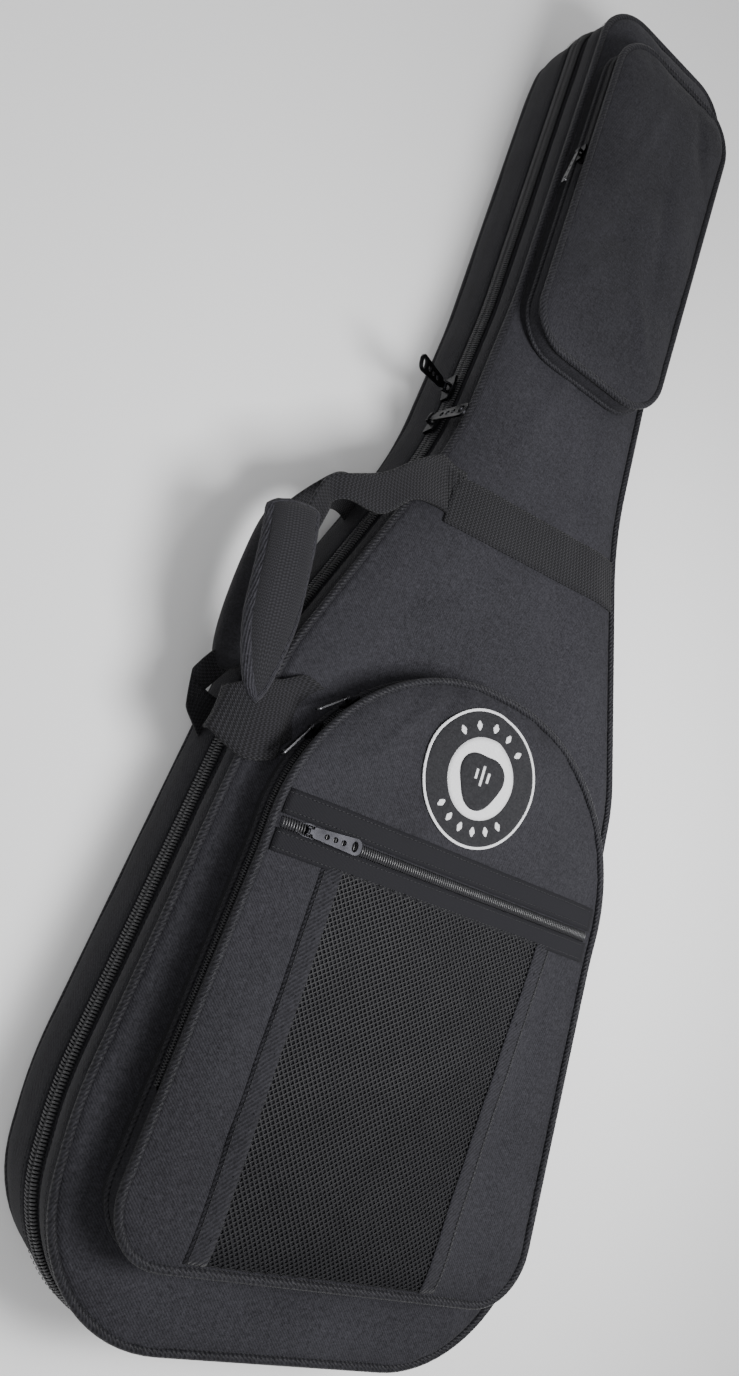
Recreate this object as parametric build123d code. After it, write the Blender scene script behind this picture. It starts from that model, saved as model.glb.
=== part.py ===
from build123d import *
import os

# A padded gig bag for an electric guitar, lying on its back. X is across the bag (right seen from
# the front), Y runs from the bottom seam to the head, Z is up from the back face. The origin is on
# the back face at mid length. Millimetres.

# ---- driving dimensions ----
LENGTH = 1044.0
BODY_HALF = 179.0       # half width at the widest place of the lower bout
NECK_HALF = 72.5        # half width along the neck and head
DEPTH = 80.0            # back face to front panel
ZIP_HEIGHT = 50.0       # height of the main zip's centre line
REAR_FLARE = 5.0        # the rear half is this much wider all round than the front half
CLOTH = 1.2
LINING = 0.8
FOAM = 10.0
BEAD = 2.7              # radius of the piping
GAP = 0.15              # each side of a line where two moving halves meet
POCKET_DEPTH = 32.0
HEAD_POCKET_DEPTH = 25.0
WEBBING = 38.0          # width of the strap webbing
WEB_THICK = 2.0

BOTTOM = -LENGTH / 2
HEAD = LENGTH / 2
FRONT_TOP = DEPTH + POCKET_DEPTH        # outer face of the big pocket
HEAD_TOP = DEPTH + HEAD_POCKET_DEPTH    # outer face of the head pocket

# The straight side of the lower bout, where the zip ends and the halves stay joined by cloth.
HINGE_LOW = (BODY_HALF, -397.0)
HINGE_HIGH = (152.0, -110.0)
HINGE_SPAN = (-390.0, -115.0)

BIG_FOLD = -380.0       # lines where the unzipped pocket faces fold down
HEAD_FOLD = 345.0


# ---- outlines ----
def mirrored_outline(right_side, radii):
    """Closed face from the corners of the right side, bottom to top, repeated on the left."""
    left_side = [(-x, y) for x, y in reversed(right_side)]
    path = FilletPolyline(*right_side, *left_side, radius=radii + radii[::-1], close=True)
    return make_face(path)


def bag_outline():
    corners = [(168, BOTTOM), HINGE_LOW, HINGE_HIGH, (82, 90), (NECK_HALF, 218), (NECK_HALF, HEAD)]
    return mirrored_outline(corners, [95, 250, 150, 300, 500, 38])


def big_pocket_outline():
    corners = [(152, -466), (138, -232), (138, -83)]
    return mirrored_outline(corners, [36, 200, 132])


def head_pocket_outline():
    return mirrored_outline([(65, 183), (65, 474)], [33, 33])


BAG = bag_outline()
BIG = big_pocket_outline()
SMALL = head_pocket_outline()


def grown(face, amount):
    return offset(face, amount=amount) if amount else face


def slab(face, spread, low, high):
    """The outline grown by spread, filled from height low to high."""
    return extrude(Pos(0, 0, low) * grown(face, spread), amount=high - low)


def ring(face, outer, inner, low, high):
    """A wall that follows the outline between two offsets."""
    return slab(face, outer, low, high) - slab(face, inner, low, high)


def bead(face, spread, height, radius=BEAD):
    """Round piping along the outline."""
    path = grown(face, spread).faces()[0].outer_wire()
    start = path @ 0
    section = Plane(origin=(start.X, start.Y, 0), z_dir=path % 0) * Circle(radius)
    return Pos(0, 0, height) * sweep(section, path=path)


def block(x_span, y_span, z_span):
    size = [span[1] - span[0] for span in (x_span, y_span, z_span)]
    centre = [(span[1] + span[0]) / 2 for span in (x_span, y_span, z_span)]
    return Pos(*centre) * Box(*size)


def hinge_zone(low, high):
    """Block round the cloth hinge on the right side."""
    return block((100, 260), HINGE_SPAN, (low, high))


def below_fold(shape, fold):
    return shape & block((-400, 400), (-900, fold - GAP), (-10, 300))


def above_fold(shape, fold):
    return shape & block((-400, 400), (fold + GAP, 900), (-10, 300))


# ---- rear half ----
COIL_OUT = REAR_FLARE
COIL_IN = -1.0
REAR_ZIP = (42.0, ZIP_HEIGHT - 3.5, ZIP_HEIGHT - GAP)      # tape foot, coil foot, meeting line
FRONT_ZIP = (58.0, ZIP_HEIGHT + 3.5, ZIP_HEIGHT + GAP)
INNER = REAR_FLARE - CLOTH - FOAM                          # inside face of the rear foam


def back_panel():
    return slab(BAG, REAR_FLARE, 0, CLOTH)


def back_foam():
    return slab(BAG, REAR_FLARE - CLOTH, CLOTH, CLOTH + FOAM)


def rear_gusset():
    return ring(BAG, REAR_FLARE, REAR_FLARE - CLOTH, CLOTH, REAR_ZIP[0])


def rear_gusset_foam():
    return ring(BAG, REAR_FLARE - CLOTH, INNER, CLOTH + FOAM, REAR_ZIP[0])


def rear_lining():
    floor = slab(BAG, INNER, CLOTH + FOAM, CLOTH + FOAM + LINING)
    wall = ring(BAG, INNER, INNER - LINING, CLOTH + FOAM, REAR_ZIP[2])
    return floor + wall


def rear_piping():
    return bead(BAG, REAR_FLARE + BEAD, CLOTH + BEAD)


def rear_zip_tape():
    tape = ring(BAG, REAR_FLARE, REAR_FLARE - LINING, REAR_ZIP[0], REAR_ZIP[1])
    return tape - hinge_zone(0, 100)


def rear_zip_coil():
    return ring(BAG, COIL_OUT, COIL_IN, REAR_ZIP[1], REAR_ZIP[2]) - hinge_zone(0, 100)


def cloth_hinge():
    strip = ring(BAG, REAR_FLARE, REAR_FLARE - CLOTH, REAR_ZIP[0], REAR_ZIP[2])
    return strip & hinge_zone(REAR_ZIP[0], REAR_ZIP[2])


CRADLE_Y = (150.0, 230.0)
CRADLE_TOP = 36.0


def neck_cradle():
    """Foam block with a trough that carries the guitar's neck."""
    floor = CLOTH + FOAM + LINING
    foam = block((-58, 58), CRADLE_Y, (floor, CRADLE_TOP))
    trough = block((-32, 32), (CRADLE_Y[0] - 5, CRADLE_Y[1] + 5), (22, 60))
    return foam - trough


def neck_strap():
    """Hook-and-loop strap closed over the cradle."""
    mid = sum(CRADLE_Y) / 2
    return block((-56, 56), (mid - WEBBING / 2, mid + WEBBING / 2), (CRADLE_TOP, CRADLE_TOP + WEB_THICK))


# ---- front half ----
LID_INNER = -CLOTH - FOAM * 0.7


def front_panel():
    return slab(BAG, -3.2, DEPTH - CLOTH, DEPTH)


def front_foam():
    return slab(BAG, -3.6, DEPTH - CLOTH - FOAM, DEPTH - CLOTH)


def front_gusset():
    wall = ring(BAG, 0, -CLOTH, FRONT_ZIP[0], DEPTH - 1.2 * BEAD)
    hinge_wall = ring(BAG, 0, -CLOTH, FRONT_ZIP[2], FRONT_ZIP[0]) & hinge_zone(FRONT_ZIP[2], FRONT_ZIP[0])
    return wall + hinge_wall


def front_gusset_foam():
    return ring(BAG, -CLOTH, LID_INNER, FRONT_ZIP[1], DEPTH - CLOTH - FOAM)


def front_lining():
    top = DEPTH - CLOTH - FOAM
    ceiling = slab(BAG, LID_INNER, top - LINING, top)
    wall = ring(BAG, LID_INNER, LID_INNER - LINING, FRONT_ZIP[2], top)
    return ceiling + wall


def front_piping():
    return bead(BAG, -0.4, DEPTH - 0.4)


def front_zip_tape():
    tape = ring(BAG, 0, -LINING, FRONT_ZIP[1], FRONT_ZIP[0])
    return tape - hinge_zone(0, 100)


def front_zip_coil():
    return ring(BAG, COIL_OUT, COIL_IN, FRONT_ZIP[2], FRONT_ZIP[1]) - hinge_zone(0, 100)


def upper_band():
    """Webbing sewn across the front above the big pocket, slightly uphill to the right."""
    strip = extrude(Pos(0, 0, DEPTH) * make_face(Polyline(
        (-76, 61), (110, 73), (110, 35), (-76, 23), close=True)), amount=WEB_THICK)
    return strip & slab(BAG, -3.4, DEPTH, DEPTH + 10)


def lower_band():
    """Webbing end that comes out from under the big pocket to the lower end of the handle."""
    strip = extrude(Pos(0, 0, DEPTH) * make_face(Polyline(
        (-146, -134), (-112, -122), (-96, -158), (-138, -170), close=True)), amount=WEB_THICK)
    return (strip & slab(BAG, -3.4, DEPTH, DEPTH + 10)) - slab(BIG, 0.2, DEPTH, DEPTH + 10)


# ---- pockets ----
def pocket_wall_low(face, zip_height):
    """Wall between the front panel and the pocket's zip, above the fold."""
    return ring(face, 0, -CLOTH, DEPTH, zip_height - 3)


def pocket_gusset(face, top, zip_height, fold):
    full = below_fold(ring(face, 0, -CLOTH, DEPTH, top - 1.2 * BEAD), fold)
    return full + (pocket_wall_low(face, zip_height) & block((-400, 400), (fold - GAP, 900), (0, 300)))


def pocket_flap_gusset(face, top, zip_height, fold):
    return above_fold(ring(face, 0, -CLOTH, zip_height + 3, top - 1.2 * BEAD), fold)


def pocket_rear_zip(face, zip_height, fold):
    return above_fold(ring(face, 0.6, -1.8, zip_height - 3, zip_height - GAP), fold)


def pocket_front_zip(face, zip_height, fold):
    return above_fold(ring(face, 0.6, -1.8, zip_height + GAP, zip_height + 3), fold)


def pocket_face(face, top):
    return slab(face, -3.2, top - CLOTH, top)


def pocket_piping(face, top):
    return bead(face, -0.4, top - 0.4)


BIG_ZIP = 101.0
HEAD_ZIP = 96.0

# Trim on the big pocket's face: a zip across it, and a mesh panel below the zip.
MESH_ZIP_Y = -216.0
MESH_ZIP_X = (-122.0, 126.0)
MESH_BOTTOM = -458.0
MESH_TOP = -233.0


def mesh_panel():
    sheet = extrude(Pos(0, 0, FRONT_TOP) * make_face(Polyline(
        (-82, MESH_TOP), (-86, MESH_BOTTOM), (66, MESH_BOTTOM), (82, MESH_TOP), close=True)), amount=0.8)
    return sheet


def mesh_side_tapes():
    left = Polyline((-94, MESH_TOP), (-98, MESH_BOTTOM), (-86.2, MESH_BOTTOM), (-82.2, MESH_TOP), close=True)
    right = Polyline((82.2, MESH_TOP), (66.2, MESH_BOTTOM), (78, MESH_BOTTOM), (94, MESH_TOP), close=True)
    solids = [extrude(Pos(0, 0, FRONT_TOP) * make_face(line), amount=0.9) for line in (left, right)]
    return solids[0] + solids[1]


def mesh_zip_tapes():
    upper = block(MESH_ZIP_X, (MESH_ZIP_Y + 4, MESH_ZIP_Y + 18), (FRONT_TOP, FRONT_TOP + 1.2))
    lower = block(MESH_ZIP_X, (MESH_TOP + 0.2, MESH_ZIP_Y - 4), (FRONT_TOP, FRONT_TOP + 1.2))
    return upper + lower


def mesh_zip_coil():
    return block(MESH_ZIP_X, (MESH_ZIP_Y - 4, MESH_ZIP_Y + 4), (FRONT_TOP, FRONT_TOP + 2.0))


def badge():
    disc = Pos(-1, -143, FRONT_TOP) * Cylinder(43, 0.9, align=(Align.CENTER, Align.CENTER, Align.MIN))
    rim = Pos(-1, -143, FRONT_TOP) * Cylinder(46, 1.3, align=(Align.CENTER, Align.CENTER, Align.MIN))
    return disc + (rim - Pos(-1, -143, FRONT_TOP) * Cylinder(43, 5))


# ---- handles ----
def strap(start, end, normal, width=WEBBING, thick=WEB_THICK):
    """Straight run of webbing between two points, lying square to normal."""
    run = Vector(*end) - Vector(*start)
    place = Plane(origin=(Vector(*start) + Vector(*end)) * 0.5, x_dir=run, z_dir=Vector(*normal))
    return place.location * Box(run.length, width, thick)


def grip(start, end, normal, width, thick):
    """Padded sleeve: a stadium section run between two points, with rounded ends."""
    run = Vector(*end) - Vector(*start)
    place = Plane(origin=Vector(*start), x_dir=Vector(*normal).cross(run), z_dir=run)
    section = place * RectangleRounded(width, thick, thick * 0.49)
    body = extrude(section, amount=run.length)
    return fillet(body.faces().sort_by(Axis(place.origin, run))[-1].edges()
                  + body.faces().sort_by(Axis(place.origin, run))[0].edges(), thick * 0.25)


FRONT_HANDLE = [(-84, 42, 86), (-150, 22, 92), (-176, -26, 96), (-164, -136, 96), (-146, -152, 86)]
REAR_HANDLE = [(-112, 40, 12), (-150, 22, 16), (-168, 0, 24), (-184, -118, 40), (-172, -156, 18)]


def front_handle_webbing():
    first = strap(FRONT_HANDLE[0], FRONT_HANDLE[1], (0, 0, 1), 34)
    second = strap(FRONT_HANDLE[1], FRONT_HANDLE[2], (0, 0, 1), 20)
    last = strap(FRONT_HANDLE[3], FRONT_HANDLE[4], (0, 0, 1), 24)
    return (first + second + last) - front_handle_grip()


def front_handle_grip():
    return grip(FRONT_HANDLE[2], FRONT_HANDLE[3], (0, 0, 1), 34, 12)


def rear_handle_webbing():
    side = (-0.5, 0, 1)
    first = strap(REAR_HANDLE[0], REAR_HANDLE[1], side, 20)
    second = strap(REAR_HANDLE[1], REAR_HANDLE[2], side, 20)
    last = strap(REAR_HANDLE[3], REAR_HANDLE[4], side, 20)
    return (first + second + last) - rear_handle_grip()


def rear_handle_grip():
    return grip(REAR_HANDLE[2], REAR_HANDLE[3], (-0.5, 0, 1), 24, 20)


# ---- sliders and pulls ----
# Each has its place on the zip, the way it runs, the outward normal of the zip, and where its pull
# hangs at rest: name, place, run, normal, pull direction, size, pull length, pull width.
PIN = 0.9
PIN_FIT = 0.06
EYE = 2.1
CHEEK = (2.6, 3.8)

ARCH_CENTRE = (-6.0, -215.0)            # centre of the big pocket's upper left corner
ARCH_RADIUS = 132.9


def arch_place(across, along):
    """Place on the zip round the pocket's corner, its downhill run and its outward normal."""
    length = (across ** 2 + along ** 2) ** 0.5
    out = (-across / length, along / length, 0)
    place = (ARCH_CENTRE[0] + ARCH_RADIUS * out[0], ARCH_CENTRE[1] + ARCH_RADIUS * out[1], BIG_ZIP)
    return place, (-out[1], out[0], 0), out


HIGH_PLACE, HIGH_RUN, HIGH_OUT = arch_place(105, 88)
LOW_PLACE, LOW_RUN, LOW_OUT = arch_place(118, 59)

SLIDERS = {
    "main_slider_upper": ((-85.8, 139, 50), (8.5, 300, 0), (-1, 0.03, 0), (-0.83, -0.2, 0.52), 20, 44, 13),
    "main_slider_lower": ((-88.3, 108, 50), (-12, -48, 0), (-1, 0.15, 0), (0.05, -0.12, 0.97), 20, 45, 13),
    "big_pocket_slider_upper": (HIGH_PLACE, [-v for v in HIGH_RUN], HIGH_OUT, (-0.72, -0.6, 0), 13, 24, 6),
    "big_pocket_slider_lower": (LOW_PLACE, LOW_RUN, LOW_OUT, (-0.5, -0.86, 0), 13, 27, 6),
    "head_pocket_slider": ((-66.3, 352, 96), (0, 85, 0), (-1, 0, 0), (-0.12, -1, 0), 13, 34, 6),
    "mesh_pocket_slider": ((-116, -216, 114.3), (220, 0, 0), (0, 0, 1), (1, 0.02, 0.06), 13, 38, 11),
}


def unit(v):
    return Vector(*v).normalized()


def slider_frames(name):
    """Plane of the slider's body on the zip, and plane of its pull at the pin."""
    place, run, normal, pull_way, size, _, _ = SLIDERS[name]
    way = unit(run)
    out = (unit(normal) - way * unit(normal).dot(way)).normalized()
    body = Plane(origin=Vector(*place), x_dir=way, z_dir=out)
    pin_height = 0.2 * size + 1.4
    pivot = Vector(*place) + out * pin_height
    pull = unit(pull_way)
    rough = way if name.startswith("main") else out.cross(way)
    pin_way = (rough - pull * rough.dot(pull)).normalized()
    return body, Plane(origin=pivot, x_dir=pull, z_dir=pull.cross(pin_way)), pin_way, out


def slider(name):
    size = SLIDERS[name][4]
    body, hang, pin_way, out = slider_frames(name)
    half = size / 2
    outline = Polyline((-half, -0.22 * size), (0.1 * size, -0.36 * size), (half, -0.3 * size),
                       (half, 0.3 * size), (0.1 * size, 0.36 * size), (-half, 0.22 * size), close=True)
    plate = body * extrude(make_face(outline), amount=0.12 * size)
    up = (out - pin_way * out.dot(pin_way)).normalized()
    across = Plane(origin=hang.origin, x_dir=pin_way.cross(up), z_dir=up)
    drop = (hang.origin - body.origin).dot(out) - 0.05 * size
    scale = size / 20
    bridge = None
    for side in (-1, 1):
        inner, outer = [side * edge * scale for edge in CHEEK]
        cheek = block((-1.8 * scale, 1.8 * scale), sorted((inner, outer)), (-drop, 1.7 * scale))
        bridge = cheek if bridge is None else bridge + cheek
    pin = Rot(90, 0, 0) * Cylinder(PIN * scale, 2 * CHEEK[1] * scale)
    return plate + across.location * (bridge + pin)


def pull(name):
    """Metal tab with an eye round the slider's pin and holes along it."""
    _, _, _, _, size, length, width = SLIDERS[name]
    _, hang, _, _ = slider_frames(name)
    scale = size / 20
    thick = 1.5 * scale + 0.2
    eye_width = 2 * (CHEEK[0] - 0.2) * scale
    neck = block((0, 7 * scale), (-eye_width / 2, eye_width / 2), (-thick / 2, thick / 2))
    tab_face = make_face(FilletPolyline(
        (5 * scale, -width * 0.3), (length, -width / 2), (length, width / 2), (5 * scale, width * 0.3),
        radius=[width * 0.15, width * 0.4, width * 0.4, width * 0.15], close=True))
    tab = Pos(0, 0, -thick / 2) * extrude(tab_face, amount=thick)
    for k in range(3):
        tab -= Pos(length * (0.34 + 0.16 * k), 0, 0) * Cylinder(width * 0.16, 10)
    tab -= Pos(length * 0.87, 0, 0) * extrude(Ellipse(width * 0.2, width * 0.3), amount=5, both=True)
    eye = Rot(90, 0, 0) * Cylinder(EYE * scale, eye_width)
    hole = Rot(90, 0, 0) * Cylinder((PIN * scale + PIN_FIT), 2 * width)
    return hang.location * ((neck + tab + eye) - hole)


# ---- all nodes ----
def nodes():
    made = {fn.__name__: fn() for fn in (
        back_panel, back_foam, rear_gusset, rear_gusset_foam, rear_lining, rear_piping, rear_zip_tape,
        rear_zip_coil, cloth_hinge, neck_cradle, neck_strap, front_panel, front_foam, front_gusset,
        front_gusset_foam, front_lining, front_piping, front_zip_tape, front_zip_coil, upper_band,
        lower_band, mesh_zip_tapes, mesh_zip_coil, badge, front_handle_webbing, front_handle_grip,
        rear_handle_webbing, rear_handle_grip)}
    for name, face, top, zip_height, fold in (
            ("big_pocket", BIG, FRONT_TOP, BIG_ZIP, BIG_FOLD),
            ("head_pocket", SMALL, HEAD_TOP, HEAD_ZIP, HEAD_FOLD)):
        made[name + "_gusset"] = pocket_gusset(face, top, zip_height, fold)
        made[name + "_flap_gusset"] = pocket_flap_gusset(face, top, zip_height, fold)
        made[name + "_rear_zip"] = pocket_rear_zip(face, zip_height, fold)
        made[name + "_front_zip"] = pocket_front_zip(face, zip_height, fold)
        made[name + "_lower_face"] = below_fold(pocket_face(face, top), fold)
        made[name + "_face"] = above_fold(pocket_face(face, top), fold)
        made[name + "_lower_piping"] = below_fold(pocket_piping(face, top), fold)
        made[name + "_piping"] = above_fold(pocket_piping(face, top), fold)
    made["mesh_panel_lower"] = below_fold(mesh_panel(), BIG_FOLD)
    made["mesh_panel"] = above_fold(mesh_panel(), BIG_FOLD)
    made["mesh_side_tapes"] = above_fold(mesh_side_tapes(), BIG_FOLD)
    made["mesh_side_tapes_lower"] = below_fold(mesh_side_tapes(), BIG_FOLD)
    for name in SLIDERS:
        made[name] = slider(name)
        made[name.replace("slider", "pull")] = pull(name)
    return made


def main():
    os.makedirs("parts", exist_ok=True)
    for name, shape in nodes().items():
        export_step(shape, f"parts/{name}.step")


if __name__ == "__main__":
    main()
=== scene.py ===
import math

import bmesh
import bpy
from mathutils import Matrix, Vector, noise
from mathutils.bvhtree import BVHTree


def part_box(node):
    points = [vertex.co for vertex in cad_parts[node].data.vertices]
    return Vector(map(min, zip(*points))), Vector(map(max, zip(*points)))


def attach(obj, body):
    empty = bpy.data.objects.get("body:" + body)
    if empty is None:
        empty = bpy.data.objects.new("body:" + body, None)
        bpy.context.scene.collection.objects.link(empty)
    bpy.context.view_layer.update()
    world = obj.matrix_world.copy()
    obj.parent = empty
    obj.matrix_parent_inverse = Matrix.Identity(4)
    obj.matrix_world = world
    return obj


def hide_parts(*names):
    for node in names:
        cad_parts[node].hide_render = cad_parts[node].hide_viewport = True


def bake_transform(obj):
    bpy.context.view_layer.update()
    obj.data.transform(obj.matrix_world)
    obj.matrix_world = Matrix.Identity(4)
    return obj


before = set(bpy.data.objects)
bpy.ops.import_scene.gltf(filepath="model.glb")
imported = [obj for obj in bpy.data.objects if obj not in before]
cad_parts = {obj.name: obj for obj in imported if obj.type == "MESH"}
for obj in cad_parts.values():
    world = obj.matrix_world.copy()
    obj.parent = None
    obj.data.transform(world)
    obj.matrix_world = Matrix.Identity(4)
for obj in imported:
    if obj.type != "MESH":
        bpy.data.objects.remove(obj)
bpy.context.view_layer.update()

bl_info = {
    "name": "Padded Gig Bag",
    "version": (1, 0, 0),
    "blender": (4, 5, 0),
    "location": "3D View > Sidebar > Gig Bag",
    "description": "Builds a padded electric-guitar gig bag round its frame",
    "category": "Object",
}

# ---- places taken from the frame, in metres ----
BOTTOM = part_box("front_gusset")[0].y
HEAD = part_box("front_gusset")[1].y
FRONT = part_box("front_panel")[1].z              # height of the front panel's cloth
POCKET_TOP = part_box("big_pocket_face")[1].z
HEAD_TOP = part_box("head_pocket_face")[1].z
ZIP_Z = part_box("rear_zip_coil")[1].z
BIG_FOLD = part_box("big_pocket_face")[0].y
HEAD_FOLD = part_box("head_pocket_face")[0].y
BIG_ZIP_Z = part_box("big_pocket_rear_zip")[1].z
HEAD_ZIP_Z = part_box("head_pocket_rear_zip")[1].z
CLOTH_HINGE = (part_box("cloth_hinge")[0].y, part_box("cloth_hinge")[1].y)
MESH_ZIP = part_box("mesh_zip_coil")
MESH_ZIP_Y = (MESH_ZIP[0].y + MESH_ZIP[1].y) / 2

ZIP_LEAN = 0.3          # how much the main zip leans, outward per height
SEAM_DROP = 0.0006      # how far a sewn-in cloth's edge lies inside and below its seam
FOLD_REACH = 0.012      # how far from its fold a flap's cloth starts and stops bending
STITCH_PITCH = 0.0036   # distance from one stitch to the next

# Corner places and radii of the right half of each outline, bottom to top.
BAG_CORNERS = [
    (0.168, BOTTOM, 0.095), (0.179, -0.397, 0.25), (0.152, -0.110, 0.15),
    (0.082, 0.090, 0.3), (0.0725, 0.218, 0.5), (0.0725, HEAD, 0.038)]
BIG_CORNERS = [(0.152, -0.466, 0.036), (0.138, -0.232, 0.2), (0.138, -0.083, 0.132)]
HEAD_CORNERS = [(0.065, 0.183, 0.033), (0.065, 0.474, 0.033)]


# ---------------------------------------------------------------- settings
def length(name, description, default, low=0.0, high=2.0):
    return bpy.props.FloatProperty(
        name=name, description=description, default=default, min=low, max=high,
        subtype="DISTANCE", unit="LENGTH", precision=4)


def colour(name, description, default):
    return bpy.props.FloatVectorProperty(
        name=name, description=description, default=default, size=3, min=0.0, max=1.0, subtype="COLOR")


class GigBagSizes(bpy.types.PropertyGroup):
    rear_flare: length("Rear flare", "How much wider the back is than the front, each side", 0.0098)
    zip_flare: length("Zip flare", "How far the main zip stands out past the front edge", 0.0042)
    bead: length("Piping radius", "Radius of the piping", 0.0027)
    crown: length("Crown", "How far the padded front rises from its seam", 0.0042)
    pocket_crown: length("Pocket crown", "How far a pocket face rises from its seam", 0.0045)
    webbing: length("Webbing width", "Width of the strap webbing", 0.038)
    coil_pitch: length("Main coil pitch", "Distance from one turn of the main zip to the next", 0.0021)
    small_pitch: length("Small coil pitch", "Distance between turns of the pocket zips", 0.0017)
    mesh_cell: length("Mesh cell", "Distance from one hole of the mesh to the next", 0.0028)


class GigBagColours(bpy.types.PropertyGroup):
    cloth: colour("Cloth", "Main woven cloth", (0.0080, 0.0078, 0.0098))
    cloth_light: colour("Cloth highlight", "Raised yarns of the cloth", (0.0260, 0.0256, 0.0305))
    tape: colour("Tape", "Flat tapes and zip tapes", (0.0080, 0.0079, 0.0095))
    web: colour("Webbing", "Strap webbing", (0.0150, 0.0148, 0.0172))
    plastic: colour("Coil", "Plastic zip coil", (0.016, 0.016, 0.018))
    silver_coil: colour("Light coil", "Coil of the zip over the mesh", (0.014, 0.014, 0.0155))
    metal: colour("Pull metal", "Pocket zip pulls", (0.065, 0.065, 0.069))
    dark_metal: colour("Dark metal", "Zip sliders and the big pulls", (0.016, 0.016, 0.018))
    thread: colour("Badge thread", "Light thread of the badge", (0.78, 0.78, 0.80))
    lining: colour("Lining", "Brushed lining", (0.045, 0.046, 0.052))
    floor: colour("Floor", "Studio floor", (0.93, 0.93, 0.935))


def sizes():
    return bpy.context.scene.gig_bag_sizes


def colours():
    return bpy.context.scene.gig_bag_colours


# ---------------------------------------------------------------- shader maths
class Wire:
    """A socket that can be written into sums."""

    def __init__(self, paint, socket):
        self.paint = paint
        self.socket = socket

    def _math(self, operation, *values):
        return self.paint.node("ShaderNodeMath", {"operation": operation}, *values).out()

    def __add__(self, other):
        return self._math("ADD", self, other)

    def __sub__(self, other):
        return self._math("SUBTRACT", self, other)

    def __rsub__(self, other):
        return self._math("SUBTRACT", other, self)

    def __mul__(self, other):
        return self._math("MULTIPLY", self, other)

    __radd__ = __add__
    __rmul__ = __mul__

    def sine(self):
        return self._math("SINE", self)

    def size(self):
        return self._math("ABSOLUTE", self)

    def highest(self, other):
        return self._math("MAXIMUM", self, other)


class Node:
    def __init__(self, paint, node):
        self.paint = paint
        self.node = node

    def out(self, name=0):
        return Wire(self.paint, self.node.outputs[name])


class Paint:
    """One material, with short calls for its nodes."""

    def __init__(self, name):
        self.material = bpy.data.materials.new(name)
        self.material.use_nodes = True
        self.tree = self.material.node_tree
        self.shader = self.tree.nodes["Principled BSDF"]

    def node(self, kind, settings=None, *values, **named):
        made = self.tree.nodes.new(kind)
        for key, value in (settings or {}).items():
            setattr(made, key, value)
        for key, value in list(enumerate(values)) + list(named.items()):
            socket = made.inputs[key if isinstance(key, int) else key.replace("_", " ")]
            self.join(socket, value)
        return Node(self, made)

    def join(self, socket, value):
        if isinstance(value, Wire):
            self.tree.links.new(value.socket, socket)
        else:
            socket.default_value = value

    def set(self, **values):
        for key, value in values.items():
            self.join(self.shader.inputs[key.replace("_", " ")], value)

    def uv(self):
        parts = self.node("ShaderNodeSeparateXYZ", None, self.node("ShaderNodeUVMap").out())
        return parts.out("X"), parts.out("Y")

    def place(self):
        return self.node("ShaderNodeTexCoord").out("Object")

    def grain(self, scale, detail=3.0):
        made = self.node("ShaderNodeTexNoise", None, Vector=self.place(), Scale=scale, Detail=detail)
        return made.out("Fac")

    def mix(self, share, low, high):
        made = self.node("ShaderNodeMix", {"data_type": "RGBA"})
        self.join(made.node.inputs["Factor"], share)
        self.join(made.node.inputs[6], low if isinstance(low, Wire) else (*low, 1.0))
        self.join(made.node.inputs[7], high if isinstance(high, Wire) else (*high, 1.0))
        return made.out(2)

    def bump(self, height, depth, strength=1.0):
        made = self.node("ShaderNodeBump", None, Strength=strength, Distance=depth, Height=height)
        self.set(Normal=made.out("Normal"))


TURN = 2 * math.pi


def woven_cloth(name, dark, light, pitch, twill=0.5, rough=0.78, sheen=0.06, dust=0.4):
    """Polyester cloth: square weave crossed by a twill line, dusty and worn in patches."""
    paint = Paint(name)
    u, v = paint.uv()
    across, along = (u * (TURN / pitch)), (v * (TURN / pitch))
    yarn = across.sine() * along.sine() * 0.5 + 0.5
    slub = paint.grain(260.0, 2.0)
    diagonal = ((across + along) * 0.5 + slub * 3.0).sine() * 0.5 + 0.5
    weave = yarn * (1 - twill) + diagonal * twill
    patches = paint.grain(9.0, 5.0)
    fibre = paint.grain(1100.0, 3.0)
    nub = paint.grain(620.0, 1.0)
    specks = (paint.grain(520.0, 1.0) - 0.64).highest(0.0) * (4.0 * dust)
    share = weave * 0.5 + patches * 0.8 + fibre * 0.9 + nub * 1.0 + slub * 0.5 - 1.42 + specks
    paint.set(Base_Color=paint.mix(share, dark, light), Roughness=patches * 0.14 + (rough - 0.07),
              Sheen_Weight=sheen, Sheen_Roughness=0.45, Specular_IOR_Level=0.14)
    paint.bump(weave * 0.7 + fibre * 0.4 + nub * 0.8, pitch * 0.45, 0.7)
    return paint.material


def strap_webbing(name, dark, light, pitch):
    """Thick webbing with rows of raised picks."""
    paint = Paint(name)
    u, v = paint.uv()
    row = (v * (TURN / pitch)).sine()
    pick = (u * (TURN / (pitch * 1.25)) + row * 1.2).sine()
    weave = (row.size() * 0.6 + pick * 0.4).highest(0.0)
    patches = paint.grain(12.0)
    fibre = paint.grain(1200.0, 2.0)
    paint.set(Base_Color=paint.mix(weave * 0.8 + patches * 0.3 - 0.1, dark, light),
              Roughness=fibre * 0.2 + 0.62, Sheen_Weight=0.06, Specular_IOR_Level=0.15)
    paint.bump(weave + fibre * 0.3, pitch * 0.3, 0.9)
    return paint.material


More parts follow.
